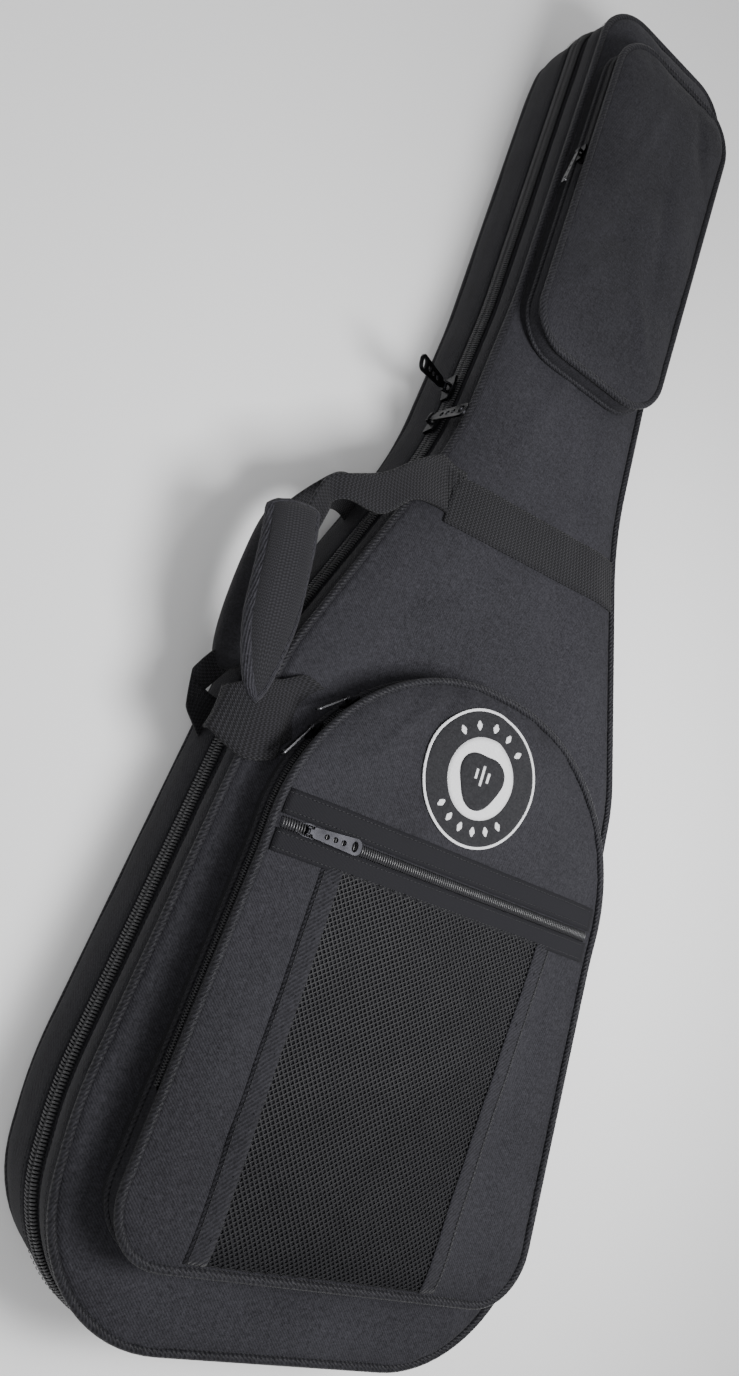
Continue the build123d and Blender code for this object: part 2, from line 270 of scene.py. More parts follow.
def ribbed_tape(name, dark, light, pitch):
    """Flat tape woven in fine ribs across its width."""
    paint = Paint(name)
    u = paint.uv()[0]
    rib = (u * (TURN / pitch)).sine() * 0.5 + 0.5
    fibre = paint.grain(800.0, 2.0)
    paint.set(Base_Color=paint.mix(rib * 0.5 + fibre * 0.35, dark, light), Roughness=fibre * 0.15 + 0.7,
              Sheen_Weight=0.02, Specular_IOR_Level=0.12)
    paint.bump(rib + fibre * 0.4, pitch * 0.3, 0.6)
    return paint.material


def moulded_plastic(name, base, rough=0.38, gloss=0.5):
    paint = Paint(name)
    wear = paint.grain(60.0)
    paint.set(Base_Color=paint.mix(wear * 0.6, base, [min(1.0, 1.9 * c + 0.01) for c in base]),
              Roughness=wear * 0.2 + (rough - 0.1), Specular_IOR_Level=gloss)
    paint.bump(paint.grain(700.0, 1.0), 0.00005, 0.3)
    return paint.material


def worn_metal(name, base, rough=0.32):
    """Plated zinc with brushed scratches and duller patches."""
    paint = Paint(name)
    patches = paint.grain(90.0)
    scratches = paint.grain(1500.0, 1.0)
    paint.set(Base_Color=paint.mix(patches * 0.8, base, [0.55 * c for c in base]), Metallic=1.0,
              Roughness=patches * 0.25 + scratches * 0.08 + (rough - 0.16))
    paint.bump(scratches, 0.00002, 0.4)
    return paint.material


def satin_thread(name, base):
    """Embroidery: close parallel stitches."""
    paint = Paint(name)
    u = paint.uv()[0]
    row = (u * (TURN / 0.0007)).sine() * 0.5 + 0.5
    fibre = paint.grain(600.0, 2.0)
    paint.set(Base_Color=paint.mix(row * 0.5 + fibre * 0.5, [0.72 * c for c in base], base),
              Roughness=fibre * 0.2 + 0.5, Sheen_Weight=0.2)
    paint.bump(row + fibre * 0.3, 0.0002, 0.8)
    return paint.material


def brushed_lining(name, base):
    paint = Paint(name)
    nap = paint.grain(300.0, 4.0)
    patches = paint.grain(15.0)
    share = nap * 0.6 + patches * 0.4
    paint.set(Base_Color=paint.mix(share, [0.6 * c for c in base], [1.5 * c for c in base]),
              Roughness=nap * 0.1 + 0.85, Sheen_Weight=0.5, Sheen_Roughness=0.6)
    paint.bump(nap, 0.0005, 0.6)
    return paint.material


# What each finish is made of: maker, material name, colours and their strength, the maker's other values.
FINISHES = {
    "cloth": (woven_cloth, "bag cloth", [("cloth", 1.25), ("cloth_light", 1.5)], (0.0010, 0.6)),
    "pocket cloth": (woven_cloth, "pocket cloth", [("cloth", 1.1), ("cloth_light", 1.25)], (0.0010, 0.6)),
    # The gusset cloth is the bag cloth at lower strength: painted shade that darkens the side walls, which
    # face away from the light.
    "gusset cloth": (woven_cloth, "gusset cloth", [("cloth", 0.8), ("cloth_light", 0.85)], (0.0011, 0.3)),
    "smooth cloth": (woven_cloth, "grip cloth", [("cloth", 0.7), ("cloth_light", 0.8)], (0.0006, 0.1, 0.7)),
    "piping": (woven_cloth, "piping cloth", [("cloth", 0.7), ("cloth_light", 1)], (0.0016, 0.95, 0.5)),
    "binding": (woven_cloth, "binding tape", [("cloth", 1), ("cloth_light", 1.7)], (0.0022, 0.95)),
    "side tape": (woven_cloth, "side tape", [("cloth", 1), ("cloth_light", 1.1)], (0.0016, 0.9)),
    "badge ground": (woven_cloth, "badge ground", [((0.012, 0.012, 0.014), 1), ((0.03, 0.03, 0.033), 1)],
                     (0.0007, 0.2)),
    "tape": (ribbed_tape, "flat tape", [("tape", 1), ("tape", 2.2)], (0.0009,)),
    "webbing": (strap_webbing, "strap webbing", [("web", 0.3), ("web", 2.0)], (0.0024,)),
    "knit": (strap_webbing, "knit pad", [("web", 0.8), ("web", 2.0)], (0.0016,)),
    "coil": (moulded_plastic, "coil plastic", [("plastic", 1)], (0.42, 0.45)),
    "silver coil": (moulded_plastic, "light coil plastic", [("silver_coil", 1)], (0.36, 0.6)),
    "mesh": (moulded_plastic, "mesh yarn", [((0.0066, 0.0066, 0.0076), 1)], (0.5, 0.18)),
    "thread_dark": (moulded_plastic, "sewing thread", [((0.013, 0.013, 0.015), 1)], (0.55, 0.3)),
    "metal": (worn_metal, "pull metal", [("metal", 1)], ()),
    "dark metal": (worn_metal, "slider metal", [("dark_metal", 1)], (0.36,)),
    "thread": (satin_thread, "badge thread", [("thread", 1)], ()),
    "lining": (brushed_lining, "brushed lining", [("lining", 1)], ()),
}
MATERIALS = {}


def finish_named(name):
    """The material of that name, made the first time it is asked for."""
    if name not in MATERIALS:
        maker, title, tones, values = FINISHES[name]
        shades = [[strength * part for part in (getattr(colours(), tone) if isinstance(tone, str) else tone)]
                  for tone, strength in tones]
        MATERIALS[name] = maker(title, *shades, *values)
    return MATERIALS[name]


# ---------------------------------------------------------------- mesh helpers
class Outline:
    """A closed outline with rounded corners, walked anticlockwise from the bottom centre."""

    def __init__(self, corners, step):
        ring = [(Vector((x, y)), r) for x, y, r in corners]
        ring += [(Vector((-x, y)), r) for x, y, r in reversed(corners)]
        self.points = []
        self.normals = []
        start = Vector((0, corners[0][1]))
        here = start
        for i, (corner, radius) in enumerate(ring):
            into = (corner - ring[i - 1][0]).normalized()
            away = (ring[(i + 1) % len(ring)][0] - corner).normalized()
            turn = math.atan2(into.cross(away), into.dot(away))
            reach = radius * math.tan(abs(turn) / 2)
            self._run(here, corner - into * reach, step)
            centre = corner - into * reach + Vector((-into.y, into.x)) * math.copysign(radius, turn)
            arm = corner - into * reach - centre
            count = max(2, round(abs(turn) * radius / step), round(abs(turn) / 0.16))
            for k in range(count):
                angle = turn * k / count
                spoke = Matrix.Rotation(angle, 2) @ arm
                self._add(centre + spoke, Matrix.Rotation(angle, 2) @ into)
            here = corner + away * reach
        self._run(here, start, step)
        self.runs = [0.0]
        for a, b in zip(self.points, self.points[1:] + self.points[:1]):
            self.runs.append(self.runs[-1] + (b - a).length)

    def _run(self, a, b, step):
        way = b - a
        count = max(1, round(way.length / step))
        for k in range(count):
            self._add(a + way * (k / count), way.normalized())

    def _add(self, point, way):
        self.points.append(point)
        self.normals.append(Vector((way.y, -way.x)))

    def __len__(self):
        return len(self.points)

    def spot(self, i, out, z):
        p = self.points[i % len(self)] + self.normals[i % len(self)] * out
        return Vector((p.x, p.y, z))

    def right_side(self):
        """Places up the right side, from the end of the flat bottom to the start of the flat top."""
        low, high = self.points[0].y, max(p.y for p in self.points)
        tiny = 1e-5
        side = [p for p in self.points[: len(self) // 2 + 1] if low + tiny < p.y < high - tiny and p.x > 0]
        flat = max(p.x for p in self.points if p.x > 0 and abs(p.y - low) < tiny)
        top = max(p.x for p in self.points if p.x > 0 and abs(p.y - high) < tiny)
        return [Vector((flat, low))] + side + [Vector((top, high))]

    def half_at(self, y):
        """Half width of the outline at a height up it."""
        side = self.right_side()
        y = min(max(y, side[0].y), side[-1].y)
        for a, b in zip(side, side[1:]):
            if a.y <= y <= b.y:
                return a.x + (b.x - a.x) * (y - a.y) / max(b.y - a.y, 1e-9)
        return side[-1].x

    def edge_at(self, x, y):
        """How far a place inside the outline is from its edge, roughly."""
        low, high = self.points[0].y, max(p.y for p in self.points)
        return max(0.0, min(self.half_at(y) - abs(x), y - low, high - y))


def placed(name, data):
    """A new object in the scene."""
    made = bpy.data.objects.new(name, data)
    bpy.context.scene.collection.objects.link(made)
    return made


LAID = {}               # settled cloths that other pieces lie on
SETTLE_FRAMES = 24


def laid(name, x, y):
    """Height of a settled cloth at a place, once it has been made."""
    hit = LAID[name].ray_cast(Vector((x, y, 1.0)), Vector((0, 0, -1.0)))[0] if name in LAID else None
    return hit.z if hit else None


def settle(piece, pressure, reach):
    """Lets cloth swell over its padding by simulation, its open edges held, and keeps the result."""
    bm = bmesh.new()
    bm.from_mesh(piece.data)
    seam = [v.index for v in bm.verts if v.is_boundary]
    bm.free()
    cloth = piece.modifiers.new("settle", "CLOTH")
    if seam:
        held = piece.vertex_groups.new(name="held")
        held.add(seam, 1.0, "REPLACE")
        cloth.settings.vertex_group_mass = "held"
    cloth.settings.use_pressure = True
    cloth.settings.uniform_pressure_force = pressure
    cloth.settings.effector_weights.gravity = 0.0
    cloth.settings.shrink_min = -0.0012
    cloth.settings.bending_stiffness = 0.15
    scene = bpy.context.scene
    for step in range(1, SETTLE_FRAMES + 1):
        scene.frame_set(step)
    swollen = piece.evaluated_get(bpy.context.evaluated_depsgraph_get()).data
    places = [v.co.copy() for v in swollen.vertices]
    for v, place in zip(piece.data.vertices, places):
        move = place - v.co
        if move.length > 1e-7:
            v.co += move.normalized() * (reach * math.tanh(move.length / reach))
    piece.modifiers.remove(cloth)
    if seam:
        piece.vertex_groups.remove(held)
    scene.frame_set(1)
    LAID[piece.name] = BVHTree.FromPolygons([v.co for v in piece.data.vertices],
                                            [p.vertices for p in piece.data.polygons])


def finished(bm, name, finish, body=None, thick=0.0, smooth=True, inward=True, settling=None):
    """Turns a bmesh into a piece with a material and body; settling gives a pressure and a reach."""
    mesh = bpy.data.meshes.new(name)
    bm.normal_update()
    bm.to_mesh(mesh)
    bm.free()
    piece = placed(name, mesh)
    mesh.materials.append(finish_named(finish))
    if smooth:
        mesh.shade_smooth()
    if settling:
        settle(piece, *settling)
    if thick:
        solid = piece.modifiers.new("thickness", "SOLIDIFY")
        solid.thickness = thick
        solid.offset = -1.0 if inward else 1.0
    if body:
        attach(piece, body)
    return piece


def ribbon(outline, profile, shut=False, span=None, shape=None):
    """Wall along an outline. profile gives (outward, height) rows; shape may move each point."""
    stations = list(range(*span)) if span else list(range(len(outline)))
    closed = span is None
    bm = bmesh.new()
    station = bm.verts.layers.int.new("station")
    row = bm.verts.layers.int.new("row")
    uv = bm.loops.layers.uv.new("UVMap")

    def place(i, k):
        out, z = profile[k]
        if shape:
            out, z = shape(i, k, out, z)
        return outline.spot(i, out, z)

    first = []
    for i in stations:
        v = bm.verts.new(place(i, 0))
        v[station] = i
        first.append(v)
    pairs = list(zip(first, first[1:] + first[:1])) if closed else list(zip(first, first[1:]))
    edges = [bm.edges.new(pair) for pair in pairs]
    start_edges = list(edges)
    for k in range(1, len(profile)):
        made = bmesh.ops.extrude_edge_only(bm, edges=edges)["geom"]
        fresh = [g for g in made if isinstance(g, bmesh.types.BMVert)]
        for v in fresh:
            v[row] = k
            v.co = place(v[station], k)
        edges = [g for g in made if isinstance(g, bmesh.types.BMEdge) and all(v[row] == k for v in g.verts)]
    if shut:
        bmesh.ops.bridge_loops(bm, edges=start_edges + edges)
    heights = [0.0]
    for a, b in zip(profile, profile[1:] + profile[:1]):
        heights.append(heights[-1] + math.dist(a, b))
    count = len(outline)
    last = len(profile) - 1
    for face in bm.faces:
        high_station = max(loop.vert[station] % count for loop in face.loops)
        rows = {loop.vert[row] for loop in face.loops}
        for loop in face.loops:
            i = loop.vert[station]
            if closed and i == 0 and high_station == count - 1:
                i = count
            k = loop.vert[row]
            if shut and k == 0 and last in rows:
                k = last + 1
            along = outline.runs[i] if i <= count else outline.runs[count] + outline.runs[i - count]
            loop[uv].uv = (along, heights[k])
    bmesh.ops.recalc_face_normals(bm, faces=bm.faces)
    return bm


def face_up(bm):
    """Turns a flat piece's faces upwards."""
    if sum(f.normal.z for f in bm.faces) < 0:
        bmesh.ops.reverse_faces(bm, faces=bm.faces)
    return bm


def outward(bm):
    """Turns an open wall's faces away from the bag's middle line."""
    middle = Vector((0, 0, ZIP_Z))
    total = 0.0
    for face in bm.faces:
        away = face.calc_center_median() - middle
        total += face.normal.dot(Vector((away.x, away.y, 0))) * face.calc_area()
    if total < 0:
        bmesh.ops.reverse_faces(bm, faces=bm.faces)
    return bm


def bead_profile(out, z, radius, sides=10):
    return [(out + radius * math.cos(TURN * k / sides), z + radius * math.sin(TURN * k / sides))
            for k in range(sides)]


def panel(outline, across, height, inset=0.0):
    """Sheet that fills an outline row by row; height(x, y, edge) gives its level."""
    rows = outline.right_side()
    low, high = rows[0].y, rows[-1].y
    bm = bmesh.new()
    uv = bm.loops.layers.uv.new("UVMap")
    bmesh.ops.create_grid(bm, x_segments=across, y_segments=len(rows) - 1, size=1.0)
    for v in bm.verts:
        here = rows[round((v.co.y + 1) / 2 * (len(rows) - 1))]
        u = v.co.x
        x = u * (here.x - inset)
        y = min(max(here.y, low + inset), high - inset)
        edge = min((1 - abs(u)) * here.x, here.y - low, high - here.y)
        v.co = (x, y, height(x, y, max(0.0, edge)))
    for face in bm.faces:
        for loop in face.loops:
            loop[uv].uv = (loop.vert.co.x, loop.vert.co.y)
    bmesh.ops.recalc_face_normals(bm, faces=bm.faces)
    return face_up(bm)


def rise(edge, reach):
    """0 at a seam, 1 once edge is past reach, rounded between."""
    t = min(1.0, edge / reach)
    return math.sqrt(max(0.0, 1 - (1 - t) ** 2.2))


def rumple(x, y, size, seed=0.0):
    """Soft uneven lie of cloth, about -1 to 1."""
    return noise.fractal(Vector((x / size, y / size, seed)), 1.0, 2.0, 3)


CREASE_DEPTH = 2.6      # all creases together are this much deeper than their listed depths


def creases(x, y, folds):
    """Height that soft creases add. Each is (x, y, heading, half length, half width, depth), in millimetres
    and degrees."""
    total = 0.0
    for at_x, at_y, heading, reach, wide, depth in folds:
        dx, dy = x * 1000 - at_x, y * 1000 - at_y
        cos, sin = math.cos(math.radians(heading)), math.sin(math.radians(heading))
        along, across = (dx * cos + dy * sin) / reach, (dy * cos - dx * sin) / wide
        total += depth * math.exp(-across * across - along * along)
    return total * CREASE_DEPTH / 1000


def copies(template, places):
    """One bmesh of a small shape repeated at each placing matrix."""
    mesh = bpy.data.meshes.new("repeat")
    template.to_mesh(mesh)
    template.free()
    bm = bmesh.new()
    for place in places:
        start = len(bm.verts)
        bm.from_mesh(mesh)
        bm.verts.ensure_lookup_table()
        bmesh.ops.transform(bm, matrix=place, verts=bm.verts[start:])
    bpy.data.meshes.remove(mesh)
    return bm


def rod(points, radius, sides=6):
    """Round bar through a few points, closed at both ends."""
    points = [Vector(point) for point in points]
    bm = bmesh.new()
    ring = bmesh.ops.create_circle(bm, segments=sides, radius=radius, cap_ends=True)["verts"]
    way = (points[1] - points[0]).normalized()
    turn = way.to_track_quat("Z", "Y").to_matrix().to_4x4()
    bmesh.ops.transform(bm, matrix=Matrix.Translation(points[0]) @ turn, verts=ring)
    face = bm.faces[:][0]
    for a, b in zip(points, points[1:]):
        made = bmesh.ops.extrude_face_region(bm, geom=[face])["geom"]
        if a != points[0]:
            bmesh.ops.delete(bm, geom=[face], context="FACES_KEEP_BOUNDARY")
        face = [g for g in made if isinstance(g, bmesh.types.BMFace)][0]
        bmesh.ops.translate(bm, vec=b - a, verts=face.verts)
    bmesh.ops.recalc_face_normals(bm, faces=bm.faces)
    return bm


def frame_at(origin, along, out):
    """Placing matrix: X along, Z out."""
    x = along.normalized()
    z = (out - x * out.dot(x)).normalized()
    y = z.cross(x)
    turn = Matrix((x, y, z)).transposed().to_4x4()
    return Matrix.Translation(origin) @ turn


def coil_turn(half, height, wire, side):
    """One turn of a zip coil seen from outside: from the tape up over the middle line."""
    reach = side * half
    return rod([(0.0, reach, 0.0), (0.0, reach * 0.86, height * 0.75), (wire * 0.5, reach * 0.3, height),
                (wire * 0.6, -reach * 0.16, height * 0.7), (wire * 0.6, -reach * 0.2, height * 0.1)], wire)


def zip_places(outline, out, z, pitch, keep, lean=0.0):
    """Evenly spaced places along an outline where keep(point) holds, each with its way and outward."""
    total = outline.runs[-1]
    places = []
    i = 0
    for k in range(int(total / pitch)):
        s = k * pitch
        while outline.runs[i + 1] < s:
            i += 1
        t = (s - outline.runs[i]) / (outline.runs[i + 1] - outline.runs[i])
        a, b = outline.spot(i, out, z), outline.spot(i + 1, out, z)
        normal = outline.normals[i].lerp(outline.normals[(i + 1) % len(outline)], t)
        point = a.lerp(b, t)
        if keep(point):
            places.append(frame_at(point, b - a, Vector((normal.x, normal.y, lean))))
    return places


def catmull(points, steps):
    """Smooth run through points, as a list."""
    out = []
    last = len(points) - 1
    for i in range(last):
        p0, p1, p2, p3 = points[max(i - 1, 0)], points[i], points[i + 1], points[min(i + 2, last)]
        for k in range(steps):
            t = k / steps
            out.append(0.5 * (2 * p1 + (p2 - p0) * t + (2 * p0 - 5 * p1 + 4 * p2 - p3) * t * t
                              + (3 * p1 - p0 - 3 * p2 + p3) * t ** 3))
    return out + [points[-1]]


def mm(*values):
    return Vector(values) / 1000


def band(pairs, steps=8, cells=8, dish=0.0):
    """Webbing through pairs of edge points, smooth from one pair to the next."""
    left = catmull([mm(*a) for a, b in pairs], steps)
    right = catmull([mm(*b) for a, b in pairs], steps)
    sums = [a + b for a, b in zip(left, right)]
    runs = [0.0]
    for before, after in zip(sums, sums[1:]):
        runs.append(runs[-1] + (after / 2 - before / 2).length)
    last = len(left) - 1

    def place(s, t):
        k = min(round(s * last), last)
        a, b = left[k], right[k]
        up = (sums[min(k + 1, last)] - sums[max(k - 1, 0)]).cross(a - b).normalized()
        return b.lerp(a, t) + up * (dish * 4 * t * (1 - t)), (runs[k], (a - b).length * t)

    return surface(last, cells, place)


def surface(along, around, place, close_along=False, close_around=False):
    """Grid whose points come from place(s, t) -> (point, uv), s and t from 0 to 1; its ends can be welded."""
    bm = bmesh.new()
    uv = bm.loops.layers.uv.new("UVMap")
    bmesh.ops.create_grid(bm, x_segments=along, y_segments=around, size=0.5)
    flat = {}
    for v in bm.verts:
        point, spot = place(round((v.co.x + 0.5) * along) / along, round((v.co.y + 0.5) * around) / around)
        flat[v] = spot
        v.co = point
    for face in bm.faces:
        for loop in face.loops:
            loop[uv].uv = flat[loop.vert]
    if close_along or close_around:
        bmesh.ops.remove_doubles(bm, verts=bm.verts, dist=1e-6)
        bmesh.ops.dissolve_degenerate(bm, edges=bm.edges, dist=1e-7)
    bmesh.ops.recalc_face_normals(bm, faces=bm.faces)
    return bm


def sleeve(spine, section, along, around, closed=False):
    """Tube along spine(s) -> (centre, across, up); section(s, angle) gives its reach across and up."""
    def place(s, t):
        centre, across, up = spine(0.0 if closed and s == 1 else s)
        angle = 0.0 if t == 1 else TURN * t
        a, b = section(0.0 if closed and s == 1 else s, angle)
        return centre + across * a + up * b, (s * 0.13, t * 0.07)

    return surface(along, around, place, close_along=closed, close_around=True)


def patch(corners, cells, level, lift):
    """Four-cornered piece of cloth above level(x, y), by lift or by two lifts from its left to its right."""
    a, b, c, d = [mm(*p) for p in corners]
    left, right = lift if isinstance(lift, tuple) else (lift, lift)

    def place(s, t):
        p = a.lerp(b, s).lerp(d.lerp(c, s), t)
        over = left + (right - left) * s
        return Vector((p.x, p.y, level(p.x, p.y) + over)), ((b - a).length * s, (d - a).length * t)

    return face_up(surface(*cells, place))


def disc(centre, inner, outer, level, lift, around=64, rings=6, shape=None):
    """Round or shaped flat piece lying on level(x, y)."""
    def place(s, t):
        angle = 0.0 if s == 1 else TURN * s
        stretch = shape(angle) if shape else 1.0
        reach = (inner + (outer - inner) * t) * stretch
        x, y = centre[0] + reach * math.cos(angle), centre[1] + reach * math.sin(angle)
        return Vector((x, y, level(x, y) + lift)), (x, y)

    return face_up(surface(around, rings, place, close_along=True))


def thread_run(rise_above, radius):
    """One stitch: a short run of thread that dips in at both ends."""
    return rod([(-0.0012, 0, -0.0002), (-0.0006, 0, rise_above),
                (0.0006, 0, rise_above), (0.0012, 0, -0.0002)], radius, 5)


def stitches(paths, level=None, pitch=STITCH_PITCH, lift=0.0):
    """Short rounded thread runs along each path of points, in one bmesh."""
    places = []
    for path in paths:
        for a, b in zip(path, path[1:]):
            way = b - a
            for k in range(max(1, int(way.length / pitch))):
                p = a + way.normalized() * (pitch * (k + 0.5))
                up = Vector((0, 0, 1))
                if level:
                    p = Vector((p.x, p.y, level(p.x, p.y) + lift))
                    ahead = p + way.normalized() * 0.001
                    way = Vector((way.x, way.y, (level(ahead.x, ahead.y) + lift - p.z) / 0.001
                                  * Vector((way.x, way.y)).length))
                places.append(frame_at(p, way, up))
    return copies(thread_run(0.00015, 0.00028), places)


def softened(node, name, finish, body, bevel, segments=2, smooth=False):
    """Copy of a CAD piece with its edges broken or rounded."""
    bm = bmesh.new()
    bm.from_mesh(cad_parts[node].data)
    bmesh.ops.remove_doubles(bm, verts=bm.verts, dist=1e-6)
    bmesh.ops.dissolve_limit(bm, angle_limit=0.02, verts=bm.verts, edges=bm.edges)
    sharp = [e for e in bm.edges if len(e.link_faces) == 2 and e.calc_face_angle(0.0) > 0.6]
    bmesh.ops.bevel(bm, geom=sharp, offset=bevel, offset_type="OFFSET", segments=segments, profile=0.5,
                    affect="EDGES", material=-1, clamp_overlap=True)
    if not smooth:
        bmesh.ops.triangulate(bm, faces=bm.faces)
    piece = finished(bm, name, finish, body, smooth=smooth)
    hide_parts(node)
    return piece


FRONT_CREASES = [(-20, 150, 70, 60, 7, 0.9), (35, 120, 100, 55, 8, -0.8), (-40, -30, 40, 60, 9, 0.8),
                 (60, -20, 120, 60, 9, -0.7), (-10, -495, 4, 90, 8, -0.6), (105, -180, 80, 60, 7, 0.6)]
BIG_CREASES = [(-70, -130, 55, 26, 4, 1.1), (-48, -118, 75, 22, 4, -0.9), (-92, -160, 35, 24, 5, 0.9),
               (-60, -180, 120, 24, 5, -0.7), (70, -150, 130, 30, 6, 0.8), (105, -300, 85, 80, 6, -0.7),
               (-118, -330, 80, 60, 5, 0.7), (-112, -410, 60, 30, 5, -0.9), (0, -112, 100, 24, 5, 0.7)]
HEAD_CREASES = [(-38, 250, 55, 34, 5, 1.0), (-30, 290, 40, 34, 5, -0.9), (28, 240, 120, 30, 6, 0.9),
                (20, 330, 100, 50, 6, -0.8), (-20, 400, 75, 50, 6, 0.9), (35, 430, 110, 36, 6, -0.8)]
BAG = Outline(BAG_CORNERS, 0.008)
BIG = Outline(BIG_CORNERS, 0.006)
SMALL = Outline(HEAD_CORNERS, 0.006)


def leaned(rows):
    """Rows of the main zip, drawn in above its middle line and out below, so that it faces up a little."""
    return [(out - ZIP_LEAN * (z - ZIP_Z), z) for out, z in rows]


TUCK_FROM, TUCK_RUN, TUCK_SHARE = 0.45, 0.08, 0.6       # where, over what length and how much it draws in


def tuck(y):
    """How much of the rear flare is left at a height up the bag: it draws in at both ends."""
    t = min(1.0, max(0.0, (abs(y) - TUCK_FROM) / TUCK_RUN))
    return 1 - TUCK_SHARE * t * t * (3 - 2 * t)


def flap_bend(fold, top):
    """Where the cloth of a flap bends, from before its fold to past it."""
    return {"start": (0, fold - FOLD_REACH, top), "end": (0, fold + FOLD_REACH, top)}


def on_cloth_hinge(point):
    return point.x > 0 and CLOTH_HINGE[0] < point.y < CLOTH_HINGE[1]


def hinge_stations():
    """First and last station of the bag's outline on the cloth hinge."""
    inside = [i for i, point in enumerate(BAG.points) if on_cloth_hinge(point)]
    return inside[0], inside[-1]


def cloth_level(piece, outline, seam, crown, lie, folds, calm=lambda y: 1.0):
    """Height of a crowned cloth at a place. crown gives its setting, share and reach from the edge; lie gives
    how deep and wide its unevenness is, its seed, and how far from the edge it starts; calm thins it out."""
    def level(x, y, edge=None):
        settled = laid(piece, x, y) if edge is None else None
        if settled is not None:
            return settled
        edge = outline.edge_at(x, y) if edge is None else edge
        setting, share, reach = crown
        depth, wide, seed, start = lie
        lift = getattr(sizes(), setting) * rise(edge, reach) * share
        uneven = (depth * rumple(x, y, wide, seed) + creases(x, y, folds)) * calm(y)
        return seam - SEAM_DROP + lift + uneven * rise(edge, start)

    return level


front_level = cloth_level("front_panel_cloth", BAG, FRONT, ("crown", 1.0, 0.028), (0.0013, 0.10, 2.0, 0.03),
                          FRONT_CREASES)
big_level = cloth_level("big_pocket_face_cloth", BIG, POCKET_TOP, ("pocket_crown", 0.7, 0.03),
                        (0.0012, 0.06, 8.0, 0.02), BIG_CREASES,
                        calm=lambda y: 1 - math.exp(-((y - MESH_ZIP_Y) / 0.014) ** 2))
head_level = cloth_level("head_pocket_face_cloth", SMALL, HEAD_TOP, ("pocket_crown", 1.0, 0.03),
                         (0.0016, 0.05, 3.0, 0.02), HEAD_CREASES)


# ---------------------------------------------------------------- operators
class GigBagOperator:
    bl_options = {"REGISTER", "UNDO"}

    def execute(self, context):
        self.build()
        return {"FINISHED"}


class GIGBAG_OT_shell(GigBagOperator, bpy.types.Operator):
    """Padded front and back with their gussets, and the cloth hinge on the right"""
    bl_idname = "gigbag.shell"
    bl_label = "Shell"

    def build(self):
        s = sizes()
        front = finished(panel(BAG, 44, front_level, inset=SEAM_DROP), "front_panel_cloth", "cloth", "lid",
                         thick=0.0012, settling=(4.0, 0.0022))
        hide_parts("front_panel", "front_foam")
        sheet = panel(BAG, 30, self.back_level)
        for v in sheet.verts:
            v.co.x *= 1 + (s.rear_flare - 0.002) * tuck(v.co.y) / max(0.05, BAG.half_at(v.co.y))
            v.co.y *= 1.005
        bmesh.ops.reverse_faces(sheet, faces=sheet.faces)
        back = finished(sheet, "back_panel_cloth", "cloth", "tray")
        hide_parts("back_panel", "back_foam")
        # The walls take the darker gusset cloth, whose darkness is painted shade.
        front_wall = outward(ribbon(BAG, [
            (-0.0025, FRONT - 0.004), (-0.0002, FRONT - 0.006),
            (0.0012, FRONT - 0.011), (0.0024, FRONT - 0.017),
            *leaned([(s.zip_flare - 0.0012, ZIP_Z + 0.0085), (s.zip_flare - 0.0016, ZIP_Z + 0.0076)])],
            shape=self.wavy))
        piece = finished(front_wall, "front_gusset_cloth", "gusset cloth", "lid", thick=0.001)
        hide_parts("front_gusset", "front_gusset_foam")
        rear_wall = outward(ribbon(BAG, [
            *leaned([(s.zip_flare - 0.0008, ZIP_Z - 0.0074), (s.zip_flare + 0.0002, ZIP_Z - 0.0088)]),
            (s.rear_flare - 0.001, 0.034), (s.rear_flare + 0.0014, 0.025), (s.rear_flare + 0.0018, 0.016),
            (s.rear_flare + 0.0004, 0.009), (s.rear_flare - 0.003, 0.0045)], shape=self.rear_lie))
        self.zip_seams()
        piece = finished(rear_wall, "rear_gusset_cloth", "gusset cloth", "tray", thick=0.001)
        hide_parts("rear_gusset", "rear_gusset_foam")
        self.cloth_hinge()

    @staticmethod
    def back_level(x, y, edge):
        return 0.0045 - 0.0043 * rise(edge, 0.02)

    @staticmethod
    def rear_lie(i, k, out, z):
        """The rear wall's uneven lie: none on the two rows at the zip, little on the last at the piping."""
        if k < 2:
            return out, z
        p = BAG.points[i % len(BAG)]
        fold = rumple(p.x, p.y, 0.055, 5.0 + z * 12)
        return out * tuck(p.y) + (0.0014 if k < 6 else 0.0004) * fold, z + 0.0008 * fold

    @staticmethod
    def wavy(i, k, out, z):
        """The front wall's uneven lie: none on its first and last rows."""
        if k in (0, 5):
            return out, z
        p = BAG.points[i % len(BAG)]
        return out + 0.0007 * rumple(p.x + z, p.y, 0.07, 5.0), z

    def zip_seams(self):
        s = sizes()
        for name, out, z, body in (("front_zip_seam", s.zip_flare - 0.0026, ZIP_Z + 0.0112, "lid"),
                                   ("rear_zip_seam", s.zip_flare + 0.0034, ZIP_Z - 0.0112, "tray"),
                                   ("front_edge_seam", 0.0019, FRONT - 0.0072, "lid")):
            places = zip_places(BAG, out, z, STITCH_PITCH, lambda p: True)
            finished(copies(thread_run(0.0002, 0.00026), places), name, "thread_dark", body)

    def cloth_hinge(self):
        s = sizes()
        first, last = hinge_stations()
        rows = leaned([(s.zip_flare - 0.0012 + 0.0012 * math.sin(math.pi * k / 8),
                        ZIP_Z - 0.009 + 0.018 * k / 8) for k in range(9)])
        strip = outward(ribbon(BAG, rows, span=(first - 1, last + 2)))
        piece = finished(strip, "cloth_hinge_strip", "tape", None, thick=0.0012)
        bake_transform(piece)
        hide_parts("cloth_hinge")


